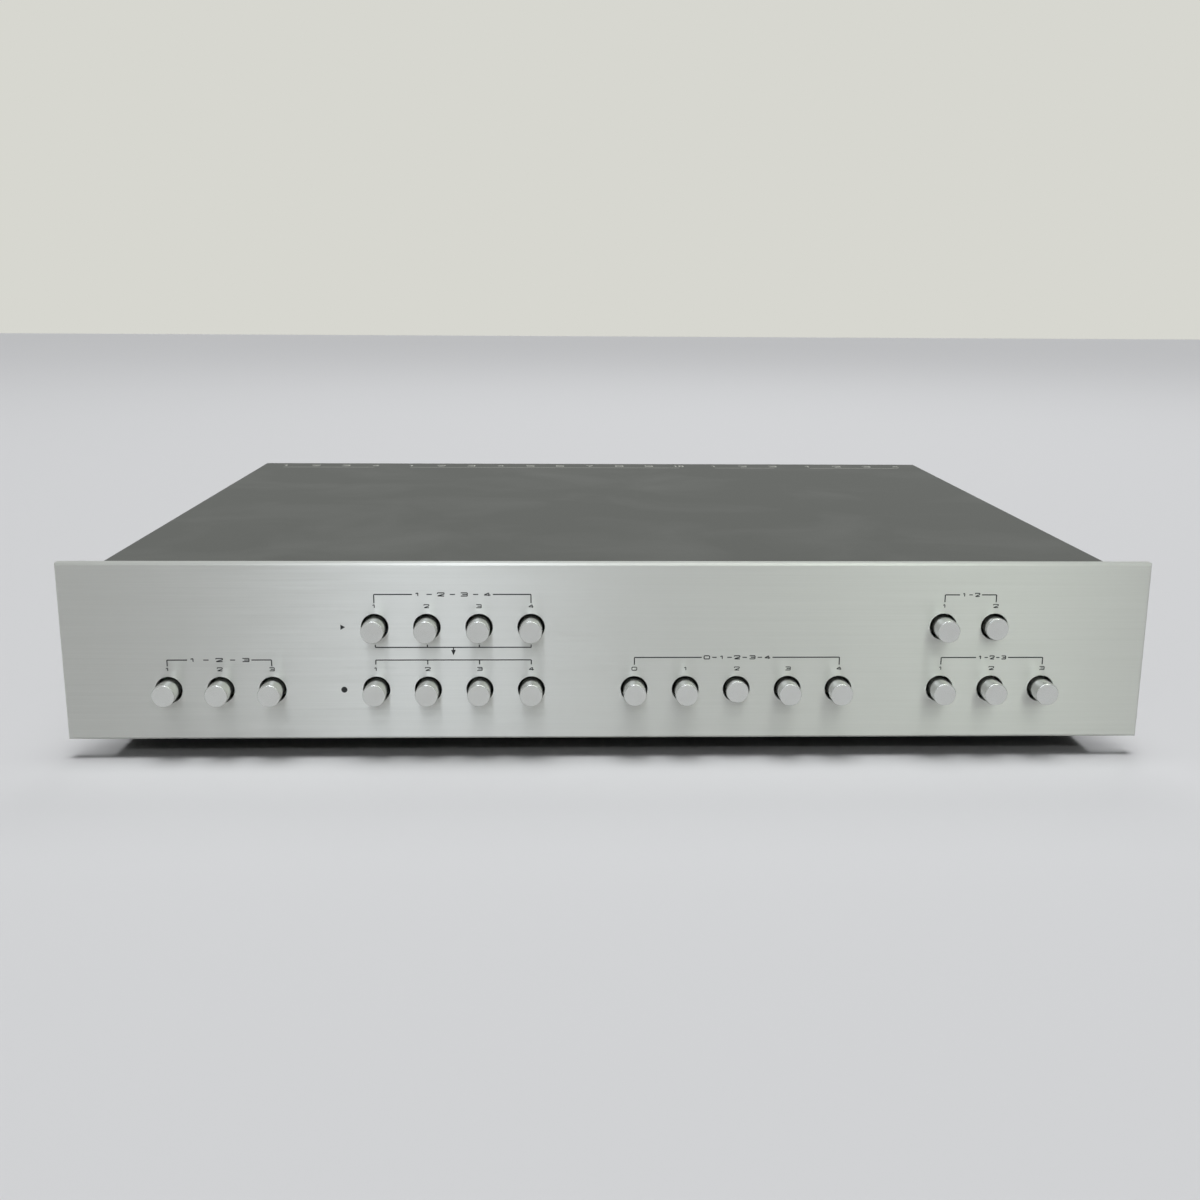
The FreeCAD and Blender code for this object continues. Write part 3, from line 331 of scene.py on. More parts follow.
SPRING_WIRE = 0.5 * MM
SPRING_TURNS = 5
SPRING_LAST_WAY = 0.8 * MM
PRESSED_FROM = 1 * MM
TURN_POINTS = 20
WIRE_SIDES = 8
WIRE_PATCH = 1 * MM

wire_steel, tree, place = blank("drawn spring wire")
dull = add(tree, "ShaderNodeTexNoise", {"Scale": 1 / WIRE_PATCH, "Detail": 2.0}, {"Vector": place})
rough = add(
    tree, "ShaderNodeMapRange", {"To Min": 0.25, "To Max": 0.4}, {"Value": dull.outputs["Fac"]}
)
shader = add(
    tree,
    "ShaderNodeBsdfPrincipled",
    {"Metallic": 1.0, "Base Color": colour("A9A9AB")},
    {"Roughness": rough.outputs["Result"]},
)
add(tree, "ShaderNodeOutputMaterial", links={"Surface": shader.outputs["BSDF"]})

coil, given = new_tree(
    "coiled spring", Radius="Float", Length="Float", Wire="Float", Turns="Float", Steel="Material"
)
helix = add(
    coil,
    "GeometryNodeCurveSpiral",
    {"Resolution": TURN_POINTS},
    {
        "Rotations": given["Turns"],
        "Start Radius": given["Radius"],
        "End Radius": given["Radius"],
        "Height": given["Length"],
    },
)
section = add(
    coil, "GeometryNodeCurvePrimitiveCircle", {"Resolution": WIRE_SIDES}, {"Radius": given["Wire"]}
)
drawn = add(
    coil,
    "GeometryNodeCurveToMesh",
    {"Fill Caps": True},
    {"Curve": helix.outputs["Curve"], "Profile Curve": section.outputs["Curve"]},
)
end_tree(coil, drawn.outputs["Mesh"], given["Steel"])

# What is drawn upright is laid back, with its top to the rear.
LIE_BACK = Matrix.Rotation(math.radians(-90), 4, "X")
spring_low, spring_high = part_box("return_springs")
rear = spring_high.y
cap_boxes = {name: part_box(name) for name in buttons}
face_out = min(low.y for low, _ in cap_boxes.values())
upper_row = max((low.z + high.z) / 2 for low, high in cap_boxes.values())
coil_radius = spring_high.z - upper_row - SPRING_WIRE / 2
for name, (low, high) in cap_boxes.items():
    pressed = low.y - face_out
    is_out = pressed < PRESSED_FROM
    front = spring_low.y + pressed + (0 if is_out else SPRING_LAST_WAY)
    axis = (low + high) / 2
    seat = Matrix.Translation((axis.x, front + SPRING_WIRE / 2, axis.z)) @ LIE_BACK
    spring = grow(
        name.replace("button", "spring"),
        coil,
        seat,
        smooth=True,
        Radius=coil_radius,
        Length=rear - front - SPRING_WIRE,
        Wire=SPRING_WIRE / 2,
        Turns=SPRING_TURNS,
        Steel=wire_steel,
    )
    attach(spring, "case")
    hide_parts("return_springs")
    if is_out:
        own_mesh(spring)


# Boards: the switch boards and the jack boards are paper phenolic laminate, punched. It is a warm
# brown with paler fibres in it and a slight gloss.
# The paper's fibres are about 0.05 mm wide, too fine to show, so they are drawn wider.
FIBRE = 0.4 * MM
FIBRE_RUN = 4 * MM

laminate, tree, place = blank("paper phenolic laminate")
lay = add(
    tree, "ShaderNodeMapping", {"Scale": (1 / FIBRE_RUN, 1 / FIBRE, 1 / FIBRE)}, {"Vector": place}
)
fibre = add(
    tree, "ShaderNodeTexNoise", {"Scale": 1.0, "Detail": 4.0}, {"Vector": lay.outputs["Vector"]}
)
tone = add(
    tree,
    "ShaderNodeMix",
    {"data_type": "RGBA", COLOUR_A: colour("8A6437"), COLOUR_B: colour("B08B58")},
    {"Factor": fibre.outputs["Fac"]},
)
shader = add(
    tree, "ShaderNodeBsdfPrincipled", {"Roughness": 0.42}, {"Base Color": tone.outputs[MIXED]}
)
add(tree, "ShaderNodeOutputMaterial", links={"Surface": shader.outputs["BSDF"]})
dress(laminate, "switch_boards", "jack_boards")


# Phono connectors: the shells are brass, turned and nickel plated. The lathe leaves fine rings
# round them, and the plating is worn in patches where plugs slide over it.
# The tool moves on by about 0.1 mm a turn, too fine to show, so the rings are drawn coarser.
LATHE_RING = 0.1885 * MM
LATHE_DEPTH = 0.01 * MM
# The length of one band of a wave texture of scale 1.
WAVE_LENGTH = math.tau / 20
WEAR_PATCH = 3 * MM

nickel, tree, place = blank("nickel plated brass")
rings = add(
    tree,
    "ShaderNodeTexWave",
    {"bands_direction": "Y", "Scale": WAVE_LENGTH / LATHE_RING, "Distortion": 1.0},
    {"Vector": place},
)
wear = add(tree, "ShaderNodeTexNoise", {"Scale": 1 / WEAR_PATCH, "Detail": 4.0}, {"Vector": place})
tone = add(
    tree,
    "ShaderNodeMix",
    {"data_type": "RGBA", COLOUR_A: colour("D6D3CA"), COLOUR_B: colour("C6C0B2")},
    {"Factor": wear.outputs["Fac"]},
)
rough = add(
    tree, "ShaderNodeMapRange", {"To Min": 0.24, "To Max": 0.36}, {"Value": wear.outputs["Fac"]}
)
bump = add(
    tree,
    "ShaderNodeBump",
    {"Strength": 0.04, "Distance": LATHE_DEPTH},
    {"Height": rings.outputs["Fac"]},
)
shader = add(
    tree,
    "ShaderNodeBsdfPrincipled",
    {"Metallic": 1.0},
    {
        "Base Color": tone.outputs[MIXED],
        "Roughness": rough.outputs["Result"],
        "Normal": bump.outputs["Normal"],
    },
)
add(tree, "ShaderNodeOutputMaterial", links={"Surface": shader.outputs["BSDF"]})
dress(nickel, "jack_shells", "ground_terminals")


# Connector inserts: moulded plastic, off-white in the upper row and red in the lower one, which
# marks the left and the right channel.
jack_low, jack_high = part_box("jack_inserts")
BETWEEN_ROWS = (jack_low.z + jack_high.z) / 2

insert, tree, place = blank("moulded insert plastic")
height = add(tree, "ShaderNodeSeparateXYZ", links={"Vector": place})
upper = add(
    tree, "ShaderNodeMath", {"operation": "GREATER_THAN", 1: BETWEEN_ROWS}, {0: height.outputs["Z"]}
)
tone = add(
    tree,
    "ShaderNodeMix",
    {"data_type": "RGBA", COLOUR_A: colour("9E2A25"), COLOUR_B: colour("D8D5CB")},
    {"Factor": upper.outputs["Value"]},
)
shader = add(
    tree, "ShaderNodeBsdfPrincipled", {"Roughness": 0.4}, {"Base Color": tone.outputs[MIXED]}
)
add(tree, "ShaderNodeOutputMaterial", links={"Surface": shader.outputs["BSDF"]})
dress(insert, "jack_inserts")


# Centre contacts: a rolled sleeve of tinned bronze in the bore of each insert, which grips the
# pin of a plug. The columns stand in four groups about the middle of the rear panel.
JACK_GROUPS = (4, 10, 3, 4)
JACK_PITCH = 17.5 * MM
GROUP_GAP = 21 * MM
JACK_RADIUS = 3.8 * MM
BORE_RADIUS = 1.6 * MM
SLEEVE_WALL = 0.25 * MM
SLEEVE_LENGTH = 7.5 * MM
SLEEVE_SET_BACK = 0.8 * MM
SLEEVE_POINTS = 20
TIN_PATCH = 1 * MM

tinned, tree, place = blank("tinned bronze")
dull = add(tree, "ShaderNodeTexNoise", {"Scale": 1 / TIN_PATCH, "Detail": 3.0}, {"Vector": place})
rough = add(
    tree, "ShaderNodeMapRange", {"To Min": 0.25, "To Max": 0.45}, {"Value": dull.outputs["Fac"]}
)
shader = add(
    tree,
    "ShaderNodeBsdfPrincipled",
    {"Metallic": 1.0, "Base Color": colour("C2BFB4")},
    {"Roughness": rough.outputs["Result"]},
)
add(tree, "ShaderNodeOutputMaterial", links={"Surface": shader.outputs["BSDF"]})

sleeves, given = new_tree(
    "contact sleeves", Axes="Geometry", Radius="Float", Wall="Float", Length="Float", Tin="Material"
)
ring = add(
    sleeves,
    "GeometryNodeCurvePrimitiveCircle",
    {"Resolution": SLEEVE_POINTS},
    {"Radius": given["Radius"]},
)
strip = add(
    sleeves,
    "GeometryNodeCurvePrimitiveQuadrilateral",
    links={"Width": given["Wall"], "Height": given["Length"]},
)
tube = add(
    sleeves,
    "GeometryNodeCurveToMesh",
    links={"Curve": ring.outputs["Curve"], "Profile Curve": strip.outputs["Curve"]},
)
placed = add(
    sleeves,
    "GeometryNodeInstanceOnPoints",
    links={"Points": given["Axes"], "Instance": tube.outputs["Mesh"]},
)
end_tree(sleeves, placed.outputs["Instances"], given["Tin"])

span = sum(JACK_GROUPS) * JACK_PITCH + (len(JACK_GROUPS) - 1) * (GROUP_GAP - JACK_PITCH)
jack_columns = []
left = JACK_PITCH / 2 - span / 2
for count in JACK_GROUPS:
    jack_columns.append([left + column * JACK_PITCH for column in range(count)])
    left += (count - 1) * JACK_PITCH + GROUP_GAP
jack_rows = (jack_low.z + JACK_RADIUS, jack_high.z - JACK_RADIUS)

axes = bpy.data.meshes.new("connector axes")
spots = [(x, -z, 0) for group in jack_columns for x in group for z in jack_rows]
axes.from_pydata(spots, [], [])
contacts = grow(
    "jack_contacts",
    sleeves,
    Matrix.Translation((0, jack_high.y - SLEEVE_SET_BACK - SLEEVE_LENGTH / 2, 0)) @ LIE_BACK,
    host=axes,
    Radius=BORE_RADIUS - SLEEVE_WALL / 2,
    Wall=SLEEVE_WALL,
    Length=SLEEVE_LENGTH,
    Tin=tinned,
)
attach(contacts, "case")


# Rear panel and top cover: steel sheet with a satin olive-grey stoving paint. The paint has a
# fine orange peel, and years of handling have left soft, slightly glossier smudges on it.
PEEL = 0.9 * MM
PEEL_DEPTH = 0.03 * MM
SMUDGE = 60 * MM
SPECK = 0.45 * MM

paint, tree, place = blank("satin stoving paint")
peel = add(tree, "ShaderNodeTexNoise", {"Scale": 1 / PEEL, "Detail": 2.0}, {"Vector": place})
smudge = add(
    tree,
    "ShaderNodeTexNoise",
    {"Scale": 1 / SMUDGE, "Detail": 5.0, "Distortion": 0.6},
    {"Vector": place},
)
worn = add(
    tree,
    "ShaderNodeMapRange",
    {"From Min": 0.45, "From Max": 0.72},
    {"Value": smudge.outputs["Fac"]},
)
tone = add(
    tree,
    "ShaderNodeMix",
    {"data_type": "RGBA", COLOUR_A: colour("565854"), COLOUR_B: colour("5D5F5B")},
    {"Factor": worn.outputs["Result"]},
)
speck = add(tree, "ShaderNodeTexNoise", {"Scale": 1 / SPECK, "Detail": 1.0}, {"Vector": place})
grit = add(
    tree,
    "ShaderNodeMapRange",
    {"From Min": 0.35, "From Max": 0.65, "To Min": 0.93, "To Max": 1.06},
    {"Value": speck.outputs["Fac"]},
)
mottled = add(
    tree,
    "ShaderNodeVectorMath",
    {"operation": "SCALE"},
    {0: tone.outputs[MIXED], "Scale": grit.outputs["Result"]},
)
rough = add(
    tree, "ShaderNodeMapRange", {"To Min": 0.52, "To Max": 0.48}, {"Value": worn.outputs["Result"]}
)
bump = add(
    tree,
    "ShaderNodeBump",
    {"Strength": 0.25, "Distance": PEEL_DEPTH},
    {"Height": peel.outputs["Fac"]},
)
shader = add(
    tree,
    "ShaderNodeBsdfPrincipled",
    {"Specular IOR Level": 0.22},
    {
        "Base Color": mottled.outputs["Vector"],
        "Roughness": rough.outputs["Result"],
        "Normal": bump.outputs["Normal"],
    },
)
add(tree, "ShaderNodeOutputMaterial", links={"Surface": shader.outputs["BSDF"]})
dress(paint, "rear_panel", "top_cover")


# Connector numbers: screen printed in pale ink on the rear panel over each column, counted from
# one in each group. Every figure is drawn as strokes in a wide, round-cornered style.
FIGURES = {
    "0": [((0.5, 1), (1, 1), (1, 0), (0, 0), (0, 1), (0.5, 1))],
    "1": [((0.2, 0.75), (0.55, 1), (0.55, 0))],
    "2": [((0, 0.72), (0, 1), (1, 1), (1, 0.6), (0, 0), (1, 0))],
    "3": [((0, 1), (1, 1), (1, 0.5), (0.25, 0.5)), ((1, 0.5), (1, 0), (0, 0))],
    "4": [((0.75, 0), (0.75, 1), (0, 0.3), (1, 0.3))],
    "5": [((1, 1), (0, 1), (0, 0.55), (1, 0.55), (1, 0), (0, 0))],
    "6": [((1, 1), (0, 1), (0, 0), (1, 0), (1, 0.55), (0, 0.55))],
    "7": [((0, 1), (1, 1), (0.35, 0))],
    "8": [((0.5, 1), (1, 1), (1, 0), (0, 0), (0, 1), (0.5, 1)), ((0, 0.52), (1, 0.52))],
    "9": [((0, 0), (1, 0), (1, 1), (0, 1), (0, 0.45), (1, 0.45))],
    "-": [((0.1, 0.5), (0.9, 0.5))],
}
FIGURE_ROUNDING = 0.3
CORNER_POINTS = 5
CORNER_SHARE = 0.45
MEETING = 0.01 * MM
INK_THICKNESS = 0.03 * MM
INK_PATCH = 0.8 * MM


def rounded(points, radius):
    """A line with a curve of a few points in place of each corner, on less than half of a side."""
    path = [Vector(points[0])]
    for before, corner, after in zip(points, points[1:], points[2:]):
        before, corner, after = Vector(before), Vector(corner), Vector(after)
        back, on = before - corner, after - corner
        reach = min(radius, CORNER_SHARE * back.length, CORNER_SHARE * on.length)
        start = corner + back.normalized() * reach
        end = corner + on.normalized() * reach
        for step in range(CORNER_POINTS):
            share = step / (CORNER_POINTS - 1)
            path.append(start.lerp(corner, share).lerp(corner.lerp(end, share), share))
    return path + [Vector(points[-1])]


def figures(text, x, y, height, width, gap):
    """The strokes of a row of figures about x, standing on y."""
    start = x - (len(text) * (width + gap) - gap) / 2
    lines = []
    for number, figure in enumerate(text):
        left = start + number * (width + gap)
        for stroke in FIGURES[figure]:
            corners = [(left + across * width, y + up * height) for across, up in stroke]
            lines.append(rounded(corners, FIGURE_ROUNDING * height))
    return lines


def line_host(name, lines):
    """A mesh whose edges are these lines, a closed one where its ends meet."""
    points = []
    edges = []
    for line in lines:
        closed = (line[0] - line[-1]).length < MEETING
        run = line[:-1] if closed else line
        first = len(points)
        points.extend((point.x, point.y, 0) for point in run)
        edges.extend((first + step, first + step + 1) for step in range(len(run) - 1))
        if closed:
            edges.append((first + len(run) - 1, first))
    mesh = bpy.data.meshes.new(name)
    mesh.from_pydata(points, edges, [])
    return mesh


printing, given = new_tree(
    "printed lines", Lines="Geometry", Width="Float", Thickness="Float", Ink="Material"
)
curves = add(printing, "GeometryNodeMeshToCurve", links={"Mesh": given["Lines"]})
upright = add(
    printing, "GeometryNodeSetCurveNormal", {"mode": "Z_UP"}, {"Curve": curves.outputs["Curve"]}
)
section = add(
    printing,
    "GeometryNodeCurvePrimitiveQuadrilateral",
    links={"Width": given["Width"], "Height": given["Thickness"]},
)
ribbon = add(
    printing,
    "GeometryNodeCurveToMesh",
    {"Fill Caps": True},
    {"Curve": upright.outputs["Curve"], "Profile Curve": section.outputs["Curve"]},
)
end_tree(printing, ribbon.outputs["Mesh"], given["Ink"])


def ink(name, code):
    """Screen ink: matt, and a little uneven in its gloss where the mesh laid it down."""
    material, tree, place = blank(name)
    uneven = add(
        tree, "ShaderNodeTexNoise", {"Scale": 1 / INK_PATCH, "Detail": 2.0}, {"Vector": place}
    )
    rough = add(
        tree,
        "ShaderNodeMapRange",
        {"To Min": 0.45, "To Max": 0.65},
        {"Value": uneven.outputs["Fac"]},
    )
    shader = add(
        tree,
        "ShaderNodeBsdfPrincipled",
        {"Base Color": colour(code)},
        {"Roughness": rough.outputs["Result"]},
    )
    add(tree, "ShaderNodeOutputMaterial", links={"Surface": shader.outputs["BSDF"]})
    return material


NUMBER_HEIGHT = 2.2 * MM
NUMBER_WIDTH = 0.8 * NUMBER_HEIGHT
NUMBER_GAP = 0.8 * MM
NUMBER_LIFT = 7.2 * MM
NUMBER_LINE = 0.4 * MM

pale_ink = ink("pale screen ink", "C9CAC2")
rear_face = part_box("rear_panel")[1].y
foot = jack_rows[1] + NUMBER_LIFT
lines = []
for group in jack_columns:
    for number, x in enumerate(group, 1):
        lines += figures(str(number), -x, foot, NUMBER_HEIGHT, NUMBER_WIDTH, NUMBER_GAP)
READ_FROM_BEHIND = Matrix(((-1, 0, 0, 0), (0, 0, 1, rear_face), (0, 1, 0, 0), (0, 0, 0, 1)))
numbers = grow(
    "rear_numbers",
    printing,
    READ_FROM_BEHIND,
    host=line_host("rear numbers", lines),
    Width=NUMBER_LINE,
    Thickness=2 * INK_THICKNESS,
    Ink=pale_ink,
)
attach(numbers, "case")


# Wiring looms: bundles of screened wire in grey PVC, laid on the tray from the switch boards back
# to the connectors. The extruded sheath has a soft gloss, a little duller in patches.
SHEATH_PATCH = 4 * MM

sheath, tree, place = blank("extruded PVC sheath")
patch = add(
    tree, "ShaderNodeTexNoise", {"Scale": 1 / SHEATH_PATCH, "Detail": 3.0}, {"Vector": place}
)
rough = add(
    tree, "ShaderNodeMapRange", {"To Min": 0.35, "To Max": 0.55}, {"Value": patch.outputs["Fac"]}
)
shader = add(
    tree,
    "ShaderNodeBsdfPrincipled",
    {"Base Color": colour("3E3F42")},
    {"Roughness": rough.outputs["Result"]},
)
add(tree, "ShaderNodeOutputMaterial", links={"Surface": shader.outputs["BSDF"]})
dress(sheath, "wiring_looms")


# Marks on the cover: the same numbers again in pale figures along its rear edge, to be read from
# the front while plugging in, with a thin line that joins each group.
MARK_HEIGHT = 5 * MM
MARK_WIDTH = 4.2 * MM
MARK_GAP = 1.2 * MM
MARK_LINE = 0.8 * MM
MARK_INSET = 12.5 * MM
JOINING_LINE = 0.5 * MM
JOINING_INSET = 17.5 * MM

cover_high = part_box("top_cover")[1]
foot = cover_high.y - MARK_INSET
rule_y = cover_high.y - JOINING_INSET
marks = []
rules = []
for group in jack_columns:
    rules.append([Vector((group[0], rule_y)), Vector((group[-1], rule_y))])
    for number, x in enumerate(group, 1):
        width = MARK_WIDTH / len(str(number))
        marks += figures(str(number), x, foot, MARK_HEIGHT, width, MARK_GAP)
for name, lines, width in (
    ("cover_numbers", marks, MARK_LINE),
    ("cover_rules", rules, JOINING_LINE),
):
    piece = grow(
        name,
        printing,
        Matrix.Translation((0, 0, cover_high.z)),
        host=line_host(name, lines),
        Width=width,
        Thickness=2 * INK_THICKNESS,
        Ink=pale_ink,
    )
    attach(piece, "case")


# Front panel: aluminium plate, brushed lengthways and clear anodised. Light falls on it as tall
# soft bands, because the brush lines spread it upright. A real brush line is about 0.05 mm wide,
# too fine to show, so the lines are drawn 0.3 mm and 1.1 mm wide.
BRUSH_LINE = 0.3 * MM
BRUSH_RUN = 40 * MM
BRUSH_DEPTH = 0.01 * MM
STREAK_LINE = 1.1 * MM
STREAK_RUN = 90 * MM
# The light spreads square to the way of the brush, which is a third of a degree out of level. Each
# line also leans the surface to one side, by about this share, and so streaks the bands' edges.
BRUSH_WAY = (1.0, 0.0, 0.005)
LINE_LEAN = 0.012

brushed, tree, place = blank("brushed anodised aluminium")
along = add(
    tree,
    "ShaderNodeMapping",
    {"Scale": (1 / BRUSH_RUN, 1 / BRUSH_LINE, 1 / BRUSH_LINE)},
    {"Vector": place},
)
line = add(
    tree, "ShaderNodeTexNoise", {"Scale": 1.0, "Detail": 3.0}, {"Vector": along.outputs["Vector"]}
)
wide = add(
    tree,
    "ShaderNodeMapping",
    {"Scale": (1 / STREAK_RUN, 1 / STREAK_LINE, 1 / STREAK_LINE)},
    {"Vector": place},
)
streak = add(
    tree, "ShaderNodeTexNoise", {"Scale": 1.0, "Detail": 2.0}, {"Vector": wide.outputs["Vector"]}
)
both = add(
    tree, "ShaderNodeMath", {"operation": "ADD"}, {0: line.outputs["Fac"], 1: streak.outputs["Fac"]}
)
tone = add(
    tree,
    "ShaderNodeMapRange",
    {"From Min": 0.7, "From Max": 1.3, "To Min": 0.0, "To Max": 1.0},
    {"Value": both.outputs["Value"]},
)
metal = add(
    tree,
    "ShaderNodeMix",
    {"data_type": "RGBA", COLOUR_A: colour("D1D2CD"), COLOUR_B: colour("D3D4CF")},
    {"Factor": tone.outputs["Result"]},
)
rough = add(
    tree,
    "ShaderNodeMapRange",
    {"To Min": 0.475, "To Max": 0.385, "clamp": False},
    {"Value": tone.outputs["Result"]},
)
bump = add(
    tree,
    "ShaderNodeBump",
    {"Strength": 0.06, "Distance": BRUSH_DEPTH},
    {"Height": both.outputs["Value"]},
)
lean = add(
    tree,
    "ShaderNodeMapRange",
    {"From Min": 0.35, "From Max": 0.65, "To Min": -LINE_LEAN, "To Max": LINE_LEAN, "clamp": False},
    {"Value": line.outputs["Fac"]},
)
aside = add(tree, "ShaderNodeCombineXYZ", links={"X": lean.outputs["Result"]})
leaning = add(
    tree,
    "ShaderNodeVectorMath",
    {"operation": "ADD"},
    {0: bump.outputs["Normal"], 1: aside.outputs["Vector"]},
)
normal = add(
    tree, "ShaderNodeVectorMath", {"operation": "NORMALIZE"}, {0: leaning.outputs["Vector"]}
)
facing = add(tree, "ShaderNodeNewGeometry")
across = add(
    tree,
    "ShaderNodeVectorMath",
    {"operation": "CROSS_PRODUCT", 1: BRUSH_WAY},
    {0: facing.outputs["Normal"]},
)
shader = add(
    tree,
    "ShaderNodeBsdfPrincipled",
    {"Metallic": 1.0, "Anisotropic": 0.92},
    {
        "Base Color": metal.outputs[MIXED],
        "Roughness": rough.outputs["Result"],
        "Normal": normal.outputs["Vector"],
        "Tangent": across.outputs["Vector"],
    },
)
add(tree, "ShaderNodeOutputMaterial", links={"Surface": shader.outputs["BSDF"]})
dress(brushed, "front_panel")


# Panel legend: screen printed in dark grey. A bracket ties the buttons of each group, a number
# stands over each button, and the two banks for tape have an arrow from one down to the other.
# Numbers stand in the brackets' gaps too, and two plain signs mark the rows.
BRACKET_LINE = 0.43 * MM
BRACKET_CORNER = 0.3 * MM
# Each bank's bracket has the height of its feet and of its line over the row, and its gap's width.
BRACKETS = {
    "amp": (9.5 * MM, 12.0 * MM, 24.6 * MM),
    "record": (10.1 * MM, 11.9 * MM, 0),
    "monitor": (9.8 * MM, 12.8 * MM, 27.6 * MM),
    "play": (9.5 * MM, 12.9 * MM, 30.9 * MM),
    "line": (9.8 * MM, 12.7 * MM, 8.6 * MM),
    "phono": (9.8 * MM, 12.6 * MM, 12.6 * MM),
}
UNDER_LINE = 8.05 * MM
UNDER_TICK = 1.1 * MM
LABEL_LINE = 0.33 * MM
LABEL_HEIGHT = 1.25 * MM
LABEL_WIDTH = 1.9 * MM
LABEL_BASE = 7.65 * MM
CAPTION_LINE = 0.38 * MM
CAPTION_HEIGHT = 1.25 * MM
CAPTION_WIDEST = 2.5 * MM
CAPTION_FILL = 0.75
CAPTION_MARGIN = 0.9 * MM

dark_ink = ink("dark screen ink", "1E2020")
panel_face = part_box("front_panel")[0].y
banks = {}
for name in sorted(buttons):
    low, high = cap_boxes[name]
    banks.setdefault(name.split("_")[0], []).append(((low.x + high.x) / 2, (low.z + high.z) / 2))

brackets = []
labels = []
captions = []
for bank, places in banks.items():
    columns = [x for x, _ in places]
    row = places[0][1]
    first = 0 if bank == "monitor" else 1
    numbers = [str(first + place) for place in range(len(columns))]
    for number, x in zip(numbers, columns):
        labels += figures(number, x, row + LABEL_BASE, LABEL_HEIGHT, LABEL_WIDTH, 0)
    foot, top, opening = BRACKETS[bank]
    foot += row
    top += row
    left, *inner, right = columns
    middle = (left + right) / 2
    if bank == "record":
        corners = [(left, foot), (left, top), (right, top), (right, foot)]
        brackets.append(rounded(corners, BRACKET_CORNER))
        brackets += [[Vector((x, top)), Vector((x, foot))] for x in inner]
        continue
    caption = "-".join(numbers)
    count = len(caption)
    room = opening - 2 * CAPTION_MARGIN
    width = min(CAPTION_WIDEST, CAPTION_FILL * room / count)
    gap = (room - count * width) / (count - 1)
    captions += figures(caption, middle, top - CAPTION_HEIGHT / 2, CAPTION_HEIGHT, width, gap)
    for end, side in ((left, -1), (right, 1)):
        corners = [(end, foot), (end, top), (middle + side * opening / 2, top)]
        brackets.append(rounded(corners, BRACKET_CORNER))
    if bank == "play":
        under = row - UNDER_LINE
        tick = under + UNDER_TICK
        corners = [(left, tick), (left, under), (right, under), (right, tick)]
        brackets.append(rounded(corners, BRACKET_CORNER))
        brackets += [[Vector((x, tick)), Vector((x, under))] for x in inner]

# The arrow hangs from the middle of the line under the play row, and the two signs stand to the
# left of their rows. Each sign is a filled shape as thick as the ink.
ARROW_LENGTH = 3.2 * MM
ARROW_WIDTH = 1.8 * MM
ARROW_HEAD = 2.2 * MM
SIGN_REACH = 12.5 * MM
SIGN_RADIUS = 1.2 * MM
DOT_CORNERS = 32

(play_x, play_row), *_, (last_x, _) = banks["play"]
record_row = banks["record"][0][1]
arrow_x = (play_x + last_x) / 2
arrow_start = play_row - UNDER_LINE
arrow_tip = arrow_start - ARROW_LENGTH
arrow_neck = arrow_tip + ARROW_HEAD
arrow_left = arrow_x - ARROW_WIDTH / 2
arrow_right = arrow_x + ARROW_WIDTH / 2
brackets.append([Vector((arrow_x, arrow_start)), Vector((arrow_x, arrow_neck))])
arrow = [(arrow_x, arrow_tip), (arrow_right, arrow_neck), (arrow_left, arrow_neck)]


def disc(x, z, radius, corners):
    """The corners of a regular shape about x and z, the first one to the right."""
    turns = [math.tau * corner / corners for corner in range(corners)]
    return [(x + radius * math.cos(turn), z + radius * math.sin(turn)) for turn in turns]


sign_x = play_x - SIGN_REACH
triangle = disc(sign_x, play_row, SIGN_RADIUS, 3)
dot = disc(sign_x, record_row, SIGN_RADIUS, DOT_CORNERS)
points = []
faces = []
for shape in (arrow, triangle, dot):
    first = len(points)
    count = len(shape)
    points += [(x, z, level) for level in (-INK_THICKNESS, INK_THICKNESS) for x, z in shape]
    faces.append(tuple(first + step for step in reversed(range(count))))
    faces.append(tuple(first + count + step for step in range(count)))
    for step in range(count):
        after = (step + 1) % count
        faces.append((first + step, first + after, first + count + after, first + count + step))
mesh = bpy.data.meshes.new("panel_signs")
mesh.from_pydata(points, [], faces)
mesh.materials.append(dark_ink)
READ_FROM_FRONT = Matrix(((1, 0, 0, 0), (0, 0, -1, panel_face), (0, 1, 0, 0), (0, 0, 0, 1)))
mesh.transform(READ_FROM_FRONT)
signs = bpy.data.objects.new("panel_signs", mesh)
bpy.context.scene.collection.objects.link(signs)
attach(signs, "case")

for name, lines, width in (
    ("panel_brackets", brackets, BRACKET_LINE),
    ("panel_labels", labels, LABEL_LINE),
    ("panel_captions", captions, CAPTION_LINE),
):
    piece = grow(
        name,
        printing,
        READ_FROM_FRONT,
        host=line_host(name, lines),
        Width=width,
        Thickness=2 * INK_THICKNESS,
        Ink=dark_ink,
    )
    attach(piece, "case")


# Button caps: turned from aluminium rod, faced, rounded at the rim and satin anodised. The lathe
# leaves rings about each button's axis, and the buttons stand on a grid of 20 by 25 mm, so one
# material finds every axis.
BUTTON_PITCH = 20 * MM
ROW_PITCH = play_row - record_row
# The tool moves on by about 0.1 mm a turn, too fine to show, so the rings are drawn coarser.
FACING_RING = 0.35 * MM
FACING_DEPTH = 0.01 * MM
SMEAR_PATCH = 5 * MM

